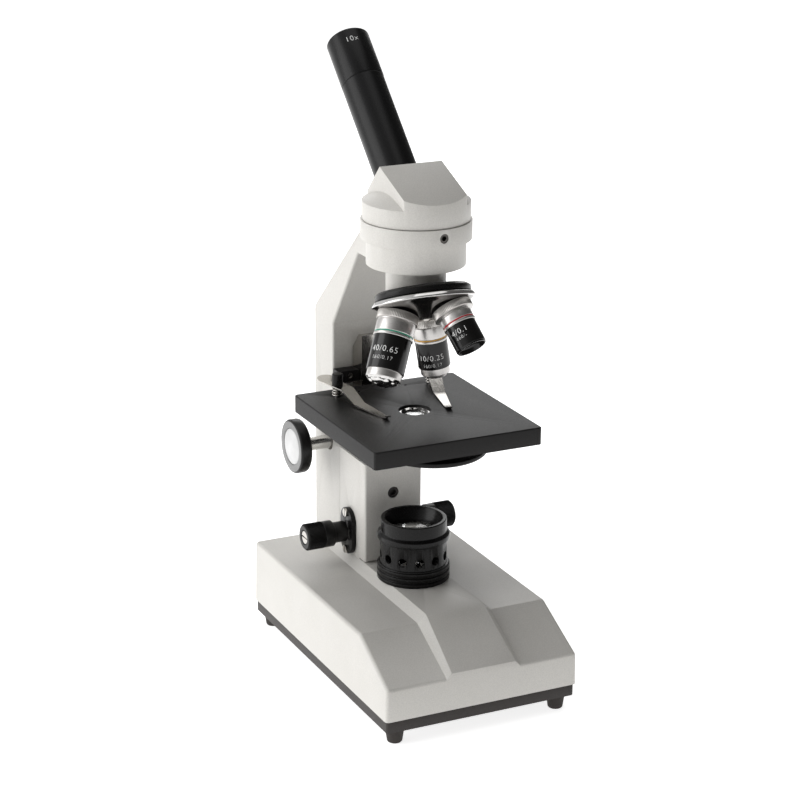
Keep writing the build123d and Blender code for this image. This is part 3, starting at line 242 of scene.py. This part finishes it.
inset_white = plastic("inset_white", (0.56, 0.56, 0.56), 0.35, 900.0, 0.000008)
ceramic = plastic("ceramic_white", (0.80, 0.78, 0.73), 0.25, 500.0, 0.00001)
chrome = metal("chrome", (0.62, 0.61, 0.60), 0.10, depth=0.000001, spread_by=0.05)
steel = metal("steel_polished", (0.56, 0.54, 0.51), 0.15, (1.0, 0.08, 1.0), 0.000003)
steel_shaft = metal("steel_shaft", (0.68, 0.67, 0.65), 0.2, (0.5, 6.0, 6.0), 0.000004)
black_screw = metal("black_oxide", (0.10, 0.095, 0.09), 0.3)
machined = metal("machined_aluminium", (0.66, 0.66, 0.67), 0.34, (1.0, 1.0, 5.0), 0.000006)
brass = metal("brass_cut", (0.72, 0.52, 0.24), 0.3)
glass = clear_glass("optical_glass")
copper = windings("wire_winding", (0.55, 0.22, 0.08))
iron = laminations("iron_sheets", (0.20, 0.20, 0.21))

knob_grey = plastic("knob_rim_grey", (0.20, 0.20, 0.20), 0.4, 1200.0, 0.000008)
sleeve_black = plastic("sleeve_black", (0.004, 0.0037, 0.0036), 0.16, 2600.0, 0.000003, 0.35)
figures = plastic("white_figures", (0.86, 0.86, 0.85), 0.5, 2000.0, 0.000004)
ring_green = plastic("ring_green", (0.05, 0.30, 0.20), 0.35, 2000.0, 0.000003)
ring_amber = plastic("ring_amber", (0.62, 0.33, 0.05), 0.35, 2000.0, 0.000003)
ring_red = plastic("ring_red", (0.45, 0.012, 0.02), 0.35, 2000.0, 0.000003)
band_chrome = metal("band_chrome", (0.60, 0.585, 0.57), 0.30, (0.4, 0.4, 9.0), 0.000003)
nut_chrome = metal("nut_chrome", (0.58, 0.56, 0.535), 0.34, depth=0.00002)
dish_chrome = metal("dish_chrome", (0.26, 0.255, 0.25), 0.14, depth=0.000001, spread_by=0.05)

by_slot = {
    "paint": paint, "dark_pan": pan_paint, "rubber": rubber, "steel": steel, "black_screw": black_screw,
    "chrome": chrome, "stage_black": stage_paint, "black_satin": anodised, "black_plastic": knob_black,
    "white_plastic": inset_white, "glass": glass, "brass": brass, "aluminium": machined,
    "iron": iron, "copper_wire": copper, "ceramic": ceramic,
}
by_node = {
    "coarse_shaft": steel_shaft, "fine_shaft": steel_shaft, "eyepiece_tube": tube_black,
    "power_inlet": moulded, "switch_bezel": moulded, "switch_rocker": moulded,
    "fuse_holder": moulded, "column_cover_screw": black_screw,
}


# ------------------------------------------------------------------ CAD nodes that stay
CORNER_GAP = 0.000005                   # corners closer than this, in m, are one
ROUNDED_ABOVE = math.radians(32)        # sharper edges get a bevel
SPLIT_ABOVE = math.radians(34)          # sharper edges stay sharp in the shading


def dress(node, bevel=0.0):
    """Gives a CAD node its material and, by modifiers only, soft edges and smooth round faces."""
    piece = nodes[node]
    entry = next(s for s in frame["record"]["subparts"] if s["node"] == node)
    material = by_node.get(node, by_slot[entry["material_slot"]])
    piece.data.materials.clear()
    piece.data.materials.append(material)
    for polygon in piece.data.polygons:
        polygon.use_smooth = True
    weld = piece.modifiers.new("join_corners", "WELD")
    weld.merge_threshold = CORNER_GAP
    if bevel:
        edge = piece.modifiers.new("soft_edges", "BEVEL")
        edge.width = bevel
        edge.segments = 3
        edge.limit_method = "ANGLE"
        edge.angle_limit = ROUNDED_ABOVE
        edge.harden_normals = True
        edge.miter_outer = "MITER_ARC"
    split = piece.modifiers.new("split_edges", "EDGE_SPLIT")
    split.split_angle = SPLIT_ABOVE


# Bevel widths in mm.
soft_edges = {
    "base_cover": 0.6, "base_pan": 0.3, "arm": 0.5, "column_housing": 0.3, "column_cover": 0.3,
    "head_housing": 0.4, "stage_plate": 0.4, "stage_bracket": 0.4, "lamp_housing": 0.2,
    "fine_plates": 0.3, "rack_rail": 0.25, "power_inlet": 0.4, "switch_bezel": 0.4,
    "switch_rocker": 0.3, "fuse_holder": 0.3, "nosepiece_mount": 0.3,
    "aperture_disc": 0.2, "feet": 0.4,
}
for name in nodes:
    dress(name, soft_edges.get(name, 0.0) * MM)


# ------------------------------------------------------------------ turned pieces
def eased(outline, radius):
    """Outline with each inner corner cut by a short three-point curve."""
    out = [outline[0]]
    for before, corner, after in zip(outline, outline[1:], outline[2:]):
        corner = Vector(corner)
        into = Vector(before) - corner
        away = Vector(after) - corner
        near = corner + into.normalized() * min(radius, into.length * 0.45)
        far = corner + away.normalized() * min(radius, away.length * 0.45)
        out += [tuple(near), tuple((near + far + corner * 2) / 4), tuple(far)]
    out.append(outline[-1])
    return out


# Steps round a turned piece.
KNURLED, RIBBED, ROUND, WHEEL, PLAIN = 512, 480, 240, 192, 160



def lathe(bm, place, outline, material_index, steps, grip=0, depth=0.0):
    """Adds a turned band to bm; the outline is (radius, height) in mm, grip counts straight ribs."""
    loops = []
    for radius, height in outline:
        loop = []
        for step in range(steps):
            turn = 2 * math.pi * step / steps
            cut = depth * (0.5 + 0.5 * math.cos(turn * grip)) if grip else 0.0
            reach = max(radius - cut, 0.0) * MM
            spot = Vector((math.cos(turn) * reach, math.sin(turn) * reach, height * MM))
            loop.append(bm.verts.new(place @ spot))
        loops.append(loop)
    for lower, upper in zip(loops, loops[1:]):
        for step in range(steps):
            after = (step + 1) % steps
            face = bm.faces.new((lower[step], lower[after], upper[after], upper[step]))
            face.material_index = material_index
            face.smooth = True


def finished(name, bm, place, materials, body, slot, *replaced):
    """Turns bm into a piece of the object, riding on its body."""
    same_spot = 0.0000004
    sharp = math.radians(36)
    bmesh.ops.remove_doubles(bm, verts=bm.verts, dist=same_spot)
    bmesh.ops.recalc_face_normals(bm, faces=bm.faces)
    mesh = bpy.data.meshes.new(name)
    bm.to_mesh(mesh)
    bm.free()
    piece = bpy.data.objects.new(name, mesh)
    for material in materials:
        mesh.materials.append(material)
    piece.matrix_world = place
    bpy.context.scene.collection.objects.link(piece)
    split = piece.modifiers.new("split_edges", "EDGE_SPLIT")
    split.split_angle = sharp
    bpy.context.view_layer.update()
    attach(piece, body)
    if replaced:
        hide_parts(*replaced)
    return piece


def figures_on(name, text, place, radius, height, turn, tall, body):
    """White figures printed round a sleeve, centred at a turn and a height, in mm."""
    capital, spacing, thinning = 0.7, 1.12, 0.06
    longest, ink = 0.6, 0.05
    curve = bpy.data.curves.new(name, "FONT")
    curve.body = text
    curve.size = tall / capital * MM
    curve.align_x = "CENTER"
    curve.align_y = "CENTER"
    curve.resolution_u = 3
    curve.space_character = spacing
    curve.offset = -thinning * MM
    flat = bpy.data.objects.new(name + "_flat", curve)
    bpy.context.scene.collection.objects.link(flat)
    bpy.context.view_layer.update()
    source = bpy.data.meshes.new_from_object(flat)
    bpy.data.objects.remove(flat)
    bm = bmesh.new()
    bm.from_mesh(source)
    bmesh.ops.triangulate(bm, faces=bm.faces)
    long_edges = [edge for edge in bm.edges if edge.calc_length() > longest * MM]
    bmesh.ops.subdivide_edges(bm, edges=long_edges, cuts=2)
    bmesh.ops.triangulate(bm, faces=bm.faces)
    skin = (radius + ink) * MM
    for vert in bm.verts:
        angle = turn + vert.co.x / skin
        vert.co = Vector((math.cos(angle) * skin, math.sin(angle) * skin, vert.co.y + height * MM))
    mesh = bpy.data.meshes.new(name)
    bm.to_mesh(mesh)
    bm.free()
    mesh.materials.append(figures)
    piece = bpy.data.objects.new(name, mesh)
    piece.matrix_world = place
    bpy.context.scene.collection.objects.link(piece)
    bpy.context.view_layer.update()
    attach(piece, body)


def area_centre(node):
    """Centre of a node's surface, which lies on the axis of a turned part."""
    total, weight = Vector(), 0.0
    for polygon in nodes[node].data.polygons:
        total += polygon.center * polygon.area
        weight += polygon.area
    return total / weight


turret_joint = joints["nosepiece_turn"]
apex = Vector(turret_joint["pos_m"])
turret_axis = Vector(turret_joint["axis"]).normalized()
lean = math.acos(turret_axis.z)
heading = math.atan2(-turret_axis.x, turret_axis.y)
turret_place = (
    Matrix.Translation(apex) @ Matrix.Rotation(heading, 4, "Z") @ Matrix.Rotation(-lean, 4, "X")
)


def turret_rest():
    """How far the turret stands from its click, read from the 10x objective's axis."""
    upward = (apex - area_centre("objective_10")).normalized()
    start = Vector((0, 0, 1)) - turret_axis * turret_axis.z
    now = upward - turret_axis * upward.dot(turret_axis)
    return math.atan2(turret_axis.dot(start.cross(now)), start.dot(now))


def objective_place(degrees):
    """Frame of an objective: apex at the origin, its axis along z, its front end at -z."""
    turn = Matrix.Rotation(turret_rest() + math.radians(degrees), 4, turret_axis)
    return Matrix.Translation(apex) @ turn @ Matrix.Rotation(heading, 4, "Z")


def face_turn(place, shift):
    """Turn about a piece's axis that faces the front left of the object, plus shift degrees."""
    front_left = Vector((-0.57, axis_y - 1.2, 0.62))
    local = place.inverted() @ front_left
    return math.atan2(local.y, local.x) + math.radians(shift)


SEAT = 46.0             # from the apex to the objectives' seats on the turret, mm
NUT_R, NUT_LONG = 12.5, 5.0


def objective(node, degrees, sizes, ring, nose, lines):
    """Objective with knurled nut, banded collar, black sleeve, lower ring and nose, in mm.

    sizes are the collar's and the sleeve's radius, the sleeve's top and bottom and the lower
    ring's radius, 0 for none. nose lists (material index, outline, ribs, depth), lines lists
    (text, height, letter height, turn in degrees).
    """
    collar_r, sleeve_r, top, bottom, ring_r = sizes
    groove_r, band_r, mark_r, under_r = (collar_r - cut for cut in (0.6, 0.2, 0.35, 0.32))
    nut_end = SEAT + NUT_LONG
    mark_top, mark_end = top - 2.6, top - 1.7
    place = objective_place(degrees)
    bm = bmesh.new()
    nut = [
        (6.0, -SEAT + 0.2), (NUT_R - 0.3, -SEAT), (NUT_R, -SEAT - 0.4),
        (NUT_R, -nut_end + 0.4), (NUT_R - 0.4, -nut_end),
    ]
    collar = [
        (NUT_R - 0.4, -nut_end), (groove_r, -nut_end - 0.2), (groove_r, -nut_end - 0.9),
        (band_r, -nut_end - 1.2), (band_r, -mark_top + 0.2), (mark_r, -mark_top),
    ]
    mark = [(mark_r, -mark_top), (under_r, -mark_end)]
    rim = [
        (under_r, -mark_end), (collar_r, -mark_end - 0.2), (collar_r, -top + 0.3),
        (collar_r - 0.3, -top), (sleeve_r, -top),
    ]
    cover = [(sleeve_r, -top), (sleeve_r, -bottom + 0.2), (sleeve_r - 0.2, -bottom)]
    lathe(bm, AS_IS, nut, 0, RIBBED, 80, 0.22)
    lathe(bm, AS_IS, eased(collar, 0.15), 1, RIBBED)
    lathe(bm, AS_IS, mark, 2, RIBBED)
    lathe(bm, AS_IS, eased(rim, 0.12), 1, RIBBED)
    lathe(bm, AS_IS, eased(cover, 0.1), 3, RIBBED)
    if ring_r:
        band = [(sleeve_r - 0.2, -bottom), (ring_r, -bottom), (ring_r, -bottom - 0.2)]
        lathe(bm, AS_IS, eased(band, 0.08), 1, RIBBED)
    for index, outline, grip, depth in nose:
        lathe(bm, AS_IS, eased(outline, 0.2), index, RIBBED, grip, depth)
    materials = [nut_chrome, band_chrome, ring, sleeve_black, chrome]
    finished(node + "_look", bm, place, materials, "nosepiece", "chrome", node)
    for number, (text, height, tall, shift) in enumerate(lines):
        turn = face_turn(place, shift)
        name = node + "_figures_" + str(number)
        figures_on(name, text, place, sleeve_r, -height, turn, tall, "nosepiece")


def objectives():
    """The three objectives; the 40x has a scalloped bright nose, the others plain ones."""
    nose_40 = [
        (1, [(10.5, -82.4), (10.5, -86.2), (10.3, -86.5)], 0, 0.0),
        (4, [(10.3, -86.5), (9.9, -86.9), (9.1, -87.7)], 10, 0.5),
        (4, [(9.1, -87.7), (8.5, -88.0), (7.6, -88.9), (6.4, -89.3)], 9, 1.1),
        (4, [(6.4, -89.3), (5.4, -89.6), (4.2, -90.1)], 7, 0.9),
        (3, [(4.2, -90.1), (3.0, -89.4), (0.0, -89.2)], 0, 0.0),
    ]
    nose_10 = [
        (1, [(8.9, -78.6), (8.9, -82.6), (8.6, -83.0), (6.6, -83.3)], 0, 0.0),
        (1, [(6.6, -83.3), (6.4, -84.8), (4.6, -85.0)], 0, 0.0),
        (3, [(4.6, -85.0), (4.2, -84.2), (0.0, -84.0)], 0, 0.0),
    ]
    mouth_4 = [
        (9.2, -73.2), (9.0, -74.0), (8.2, -74.0), (7.4, -71.4), (6.2, -70.6), (0.0, -70.4),
    ]
    nose_4 = [(3, mouth_4, 0, 0.0)]
    objective("objective_40", 120, (11.9, 11.3, 61.4, 82.2, 10.5), ring_green, nose_40,
              [("40/0.65", 70.6, 3.6, -20), ("160/0.17", 76.0, 2.4, -22)])
    objective("objective_10", 0, (10.3, 9.8, 61.8, 78.4, 8.9), ring_amber, nose_10,
              [("10/0.25", 70.9, 3.4, -9), ("160/0.17", 75.6, 2.2, -9)])
    objective("objective_4", 240, (10.1, 9.4, 59.0, 73.2, 0), ring_red, nose_4,
              [("4/0.1", 63.8, 3.4, -14), ("160/-", 67.6, 2.2, -16)])


def turret_shell():
    """Bright flared lip and dished face of the turning nosepiece, with its hub."""
    rise = SEAT / math.cos(lean)
    slope = math.tan(lean)
    lip_r, lip_top, lip_low, hub_r = 31.5, 33.3, 36.6, 8.6
    dish_r = lip_r - 1.6
    hub_top = -(rise - hub_r * slope)
    bm = bmesh.new()
    lip = [
        (7.0, -lip_top), (29.2, -lip_top), (30.4, -lip_top - 0.6), (lip_r, -lip_low + 1.0),
        (lip_r, -lip_low + 0.2), (lip_r - 0.4, -lip_low), (dish_r, -lip_low - 0.2),
    ]
    lathe(bm, AS_IS, eased(lip, 0.3), 0, ROUND)
    dish = [(dish_r, -lip_low - 0.2)]
    for radius in (28.6, 26.0, 22.0, 17.0, 12.0, 9.0):
        dish.append((radius, -(rise - radius * slope) - 0.05))
    dish += [(hub_r - 1.0, hub_top - 0.5), (5.0, hub_top - 0.9)]
    lathe(bm, AS_IS, dish, 1, ROUND)
    materials = [chrome, dish_chrome]
    finished("turret_look", bm, turret_place, materials, "nosepiece", "chrome", "turret")


# ------------------------------------------------------------------ focus controls
def sideways(side, node):
    """Frame whose z points out of one side of the object, on a knob node's axis."""
    place = middle(node)
    out = Matrix.Rotation(math.radians(90 * side), 4, "Y")
    return Matrix.Translation((0, place.y, place.z)) @ out


def knob_sizes(node):
    """Outer end and radius of a knob pair, in mm, from its box."""
    low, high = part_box(node)
    return high.x / MM, (high.z - low.z) / 2 / MM


def fine_knob_pair():
    """Straight-knurled knobs with plain hubs."""
    end, grip_r = knob_sizes("fine_knobs")
    collar_top, grip_top, hub_r = end - 19.2, end - 12.3, 6.6
    hub = [(3.2, end - 28.0), (hub_r, end - 27.8), (hub_r, collar_top)]
    collar = [
        (hub_r, collar_top), (grip_r - 0.6, end - 19.0), (grip_r - 0.15, end - 18.6),
        (grip_r - 0.15, end - 12.6), (grip_r - 0.5, grip_top),
    ]
    ribs = [
        (grip_r - 0.5, grip_top), (grip_r, end - 12.0), (grip_r, end - 1.1),
        (grip_r - 0.9, end - 0.2),
    ]
    face = [
        (grip_r - 0.9, end - 0.2), (grip_r - 1.2, end), (5.0, end), (4.6, end - 0.3),
        (4.4, end - 1.9), (0.0, end - 2.0),
    ]
    bm = bmesh.new()
    for side in (-1, 1):
        place = sideways(side, "fine_knobs")
        lathe(bm, place, eased(hub, 0.3), 0, KNURLED)
        lathe(bm, place, eased(collar, 0.2), 0, KNURLED)
        lathe(bm, place, ribs, 0, KNURLED, 64, 0.35)
        lathe(bm, place, eased(face, 0.15), 0, KNURLED)
    finished("fine_knobs_look", bm, AS_IS, [knob_black], "fine_drive", "black_plastic",
             "fine_knobs")


def coarse_knob_pair():
    """Black wheels with a grey face ring round the light inset."""
    end, wheel_r = knob_sizes("coarse_knobs")
    back_z, boss_r = end - 8.0, 7.0
    back = [
        (4.6, back_z - 3.0), (boss_r, back_z - 3.0), (boss_r, back_z), (wheel_r - 1.8, back_z),
        (wheel_r - 0.4, back_z + 0.9), (wheel_r, back_z + 2.2), (wheel_r, end - 1.2),
    ]
    edge = [(wheel_r, end - 1.2), (wheel_r - 0.5, end - 0.35), (wheel_r - 1.2, end)]
    ring = [
        (wheel_r - 1.2, end), (12.3, end - 0.15), (11.85, end - 0.4), (11.8, end - 1.5),
        (0.0, end - 1.5),
    ]
    bm = bmesh.new()
    for side in (-1, 1):
        place = sideways(side, "coarse_knobs")
        lathe(bm, place, eased(back, 0.5), 0, WHEEL)
        lathe(bm, place, edge, 0, WHEEL)
        lathe(bm, place, eased(ring, 0.2), 1, WHEEL)
    finished("coarse_knobs_look", bm, AS_IS, [knob_black, knob_grey], "coarse_drive",
             "black_plastic", "coarse_knobs")


def coarse_inset_pair():
    """Slightly crowned light discs in the coarse wheels."""
    end, inset_r = knob_sizes("coarse_insets")[0], 11.6
    disc = [
        (0.0, end - 1.2), (inset_r, end - 1.2), (inset_r, end - 0.3), (inset_r - 0.4, end),
        (6.0, end + 0.12), (0.0, end + 0.16),
    ]
    bm = bmesh.new()
    for side in (-1, 1):
        lathe(bm, sideways(side, "coarse_insets"), eased(disc, 0.15), 0, PLAIN)
    finished("coarse_insets_look", bm, AS_IS, [inset_white], "coarse_drive", "white_plastic",
             "coarse_insets")


# ------------------------------------------------------------------ eyepiece
def eyepiece():
    """Black eyepiece with a rolled eye rim and its magnification in white figures."""
    axis = Vector(joints["eyepiece_lift"]["axis"]).normalized()
    tilt = math.atan2(axis.y, axis.z)
    centre = area_centre("eyepiece_tube")
    base = Vector((0, centre.y, centre.z)) + axis * ((axis_y - centre.y) / axis.y)
    place = Matrix.Translation(base) @ Matrix.Rotation(-tilt, 4, "X")
    into = place.inverted()
    barrel = [into @ vert.co for vert in nodes["eyepiece_barrel"].data.vertices]
    tube = [into @ vert.co for vert in nodes["eyepiece_tube"].data.vertices]
    inside_end, inside_wall = 0.15, 0.05    # kept inside the CAD eyepiece, mm
    seat = min(spot.z for spot in barrel) / MM
    top = max(spot.z for spot in barrel) / MM - inside_end
    cad_r = max(math.hypot(spot.x, spot.y) for spot in barrel) / MM
    wide = cad_r - inside_wall
    inner = cad_r - 1.75
    seam = max(spot.z for spot in tube) / MM + 0.05
    eye_r = wide - 6.1
    sleeve = [(inner - 1.5, seat), (inner, seat), (inner, seam)]
    shell = [
        (inner, seam), (wide - 0.3, seam), (wide, seam + 0.45), (wide, top - 1.4),
        (wide - 0.6, top - 0.6), (wide - 1.4, top), (wide - 3.6, top), (wide - 4.2, top - 0.5),
        (eye_r, top - 3.0), (eye_r, top - 4.5), (inner - 1.5, top - 4.5),
    ]
    bm = bmesh.new()
    lathe(bm, place, eased(sleeve, 0.2), 0, PLAIN)
    lathe(bm, place, eased(shell, 0.3), 0, PLAIN)
    finished("eyepiece_look", bm, AS_IS, [tube_black], "eyepiece", "black_satin",
             "eyepiece_barrel")
    turn = face_turn(place, 12)
    figures_on("eyepiece_figures", "10x", place, wide, top - 8.5, turn, 3.6, "eyepiece")


objectives()
turret_shell()
fine_knob_pair()
coarse_knob_pair()
coarse_inset_pair()
eyepiece()


# ------------------------------------------------------------------ floor, light and camera
def floor():
    """Plain pale floor."""
    mesh = bpy.data.meshes.new("floor")
    half = 6.0
    corners = [(-half, -half, 0), (half, -half, 0), (half, half, 0), (-half, half, 0)]
    mesh.from_pydata(corners, [], [(0, 1, 2, 3)])
    piece = bpy.data.objects.new("floor", mesh)
    bpy.context.scene.collection.objects.link(piece)
    material, tree, principled = shader("floor_pale")
    tone = ramp(tree, noise(tree, 3.0), [(0.3, (0.90, 0.90, 0.90)), (0.7, (0.93, 0.93, 0.93))])
    tree.links.new(tone, principled.inputs["Base Color"])
    principled.inputs["Roughness"].default_value = 0.9
    tree.links.new(tone, principled.inputs["Emission Color"])
    principled.inputs["Emission Strength"].default_value = 0.86
    piece.data.materials.append(material)


def area_light(name, place, aim, size, power):
    """White area light at a place, pointed at aim; size in m, power in W."""
    light = bpy.data.lights.new(name, "AREA")
    light.shape = "RECTANGLE"
    light.size, light.size_y = size
    light.energy = power
    piece = bpy.data.objects.new(name, light)
    piece.location = place
    piece.rotation_euler = (Vector(aim) - Vector(place)).to_track_quat("-Z", "Y").to_euler()
    bpy.context.scene.collection.objects.link(piece)


def camera():
    """Camera at the viewing angle of the picture, long lens from about 1.4 m.

    Its aim is aside (to the right) and up from the foot of the light axis, in metres.
    """
    azimuth, elevation, roll = (math.radians(a) for a in (-25.78, 18.48, 0.38))
    distance, aside, height, lens = 1.38885, -0.00894, 0.17738, 103.13
    back = Vector((
        math.sin(azimuth) * math.cos(elevation),
        -math.cos(azimuth) * math.cos(elevation),
        math.sin(elevation),
    ))
    right = Vector((0, 0, 1)).cross(back).normalized()
    up = back.cross(right)
    turned_right = right * math.cos(roll) + up * math.sin(roll)
    turned_up = up * math.cos(roll) - right * math.sin(roll)
    place = Vector((0, axis_y, height)) + back * distance + turned_right * aside
    data = bpy.data.cameras.new("camera")
    data.lens = lens
    data.sensor_width = 36.0                # lens and sensor in mm
    piece = bpy.data.objects.new("camera", data)
    turn = Matrix((turned_right, turned_up, back)).transposed().to_4x4()
    piece.matrix_world = Matrix.Translation(place) @ turn
    bpy.context.scene.collection.objects.link(piece)
    bpy.context.scene.camera = piece


def world():
    """Bright surroundings on the left; the room in front and on the right is dimmer."""
    surroundings = bpy.data.worlds.new("surroundings")
    surroundings.use_nodes = True
    tree = surroundings.node_tree
    background = tree.nodes["Background"]
    coordinate = tree.nodes.new("ShaderNodeTexCoord")
    facing = tree.nodes.new("ShaderNodeVectorMath")
    facing.operation = "DOT_PRODUCT"
    facing.inputs[1].default_value = (-0.80, 0.42, 0.0)
    tree.links.new(coordinate.outputs["Generated"], facing.inputs[0])
    wide = tree.nodes.new("ShaderNodeMapRange")
    wide.inputs["From Min"].default_value = -1.0
    wide.inputs["From Max"].default_value = 1.0
    tree.links.new(facing.outputs["Value"], wide.inputs["Value"])
    stops = [
        (0.0, (0.08, 0.078, 0.076)), (0.33, (0.14, 0.138, 0.135)),
        (0.55, (0.27, 0.27, 0.265)), (0.76, (0.8, 0.8, 0.8)),
    ]
    tone = ramp(tree, wide.outputs["Result"], stops)
    tree.links.new(tone, background.inputs["Color"])
    background.inputs["Strength"].default_value = 1.0
    bpy.context.scene.world = surroundings


floor()
world()
area_light("left_window", (-1.5, 0.45, 0.75), (0, 0, 0.18), (1.2, 1.4), 12.5)
area_light("back_window", (0.7, 1.4, 0.9), (0, 0, 0.2), (1.2, 1.0), 7)
area_light("top_soft", (0.1, 0.1, 1.9), (0, 0, 0.1), (1.2, 1.2), 5)
camera()
bpy.context.scene.view_settings.view_transform = "Standard"
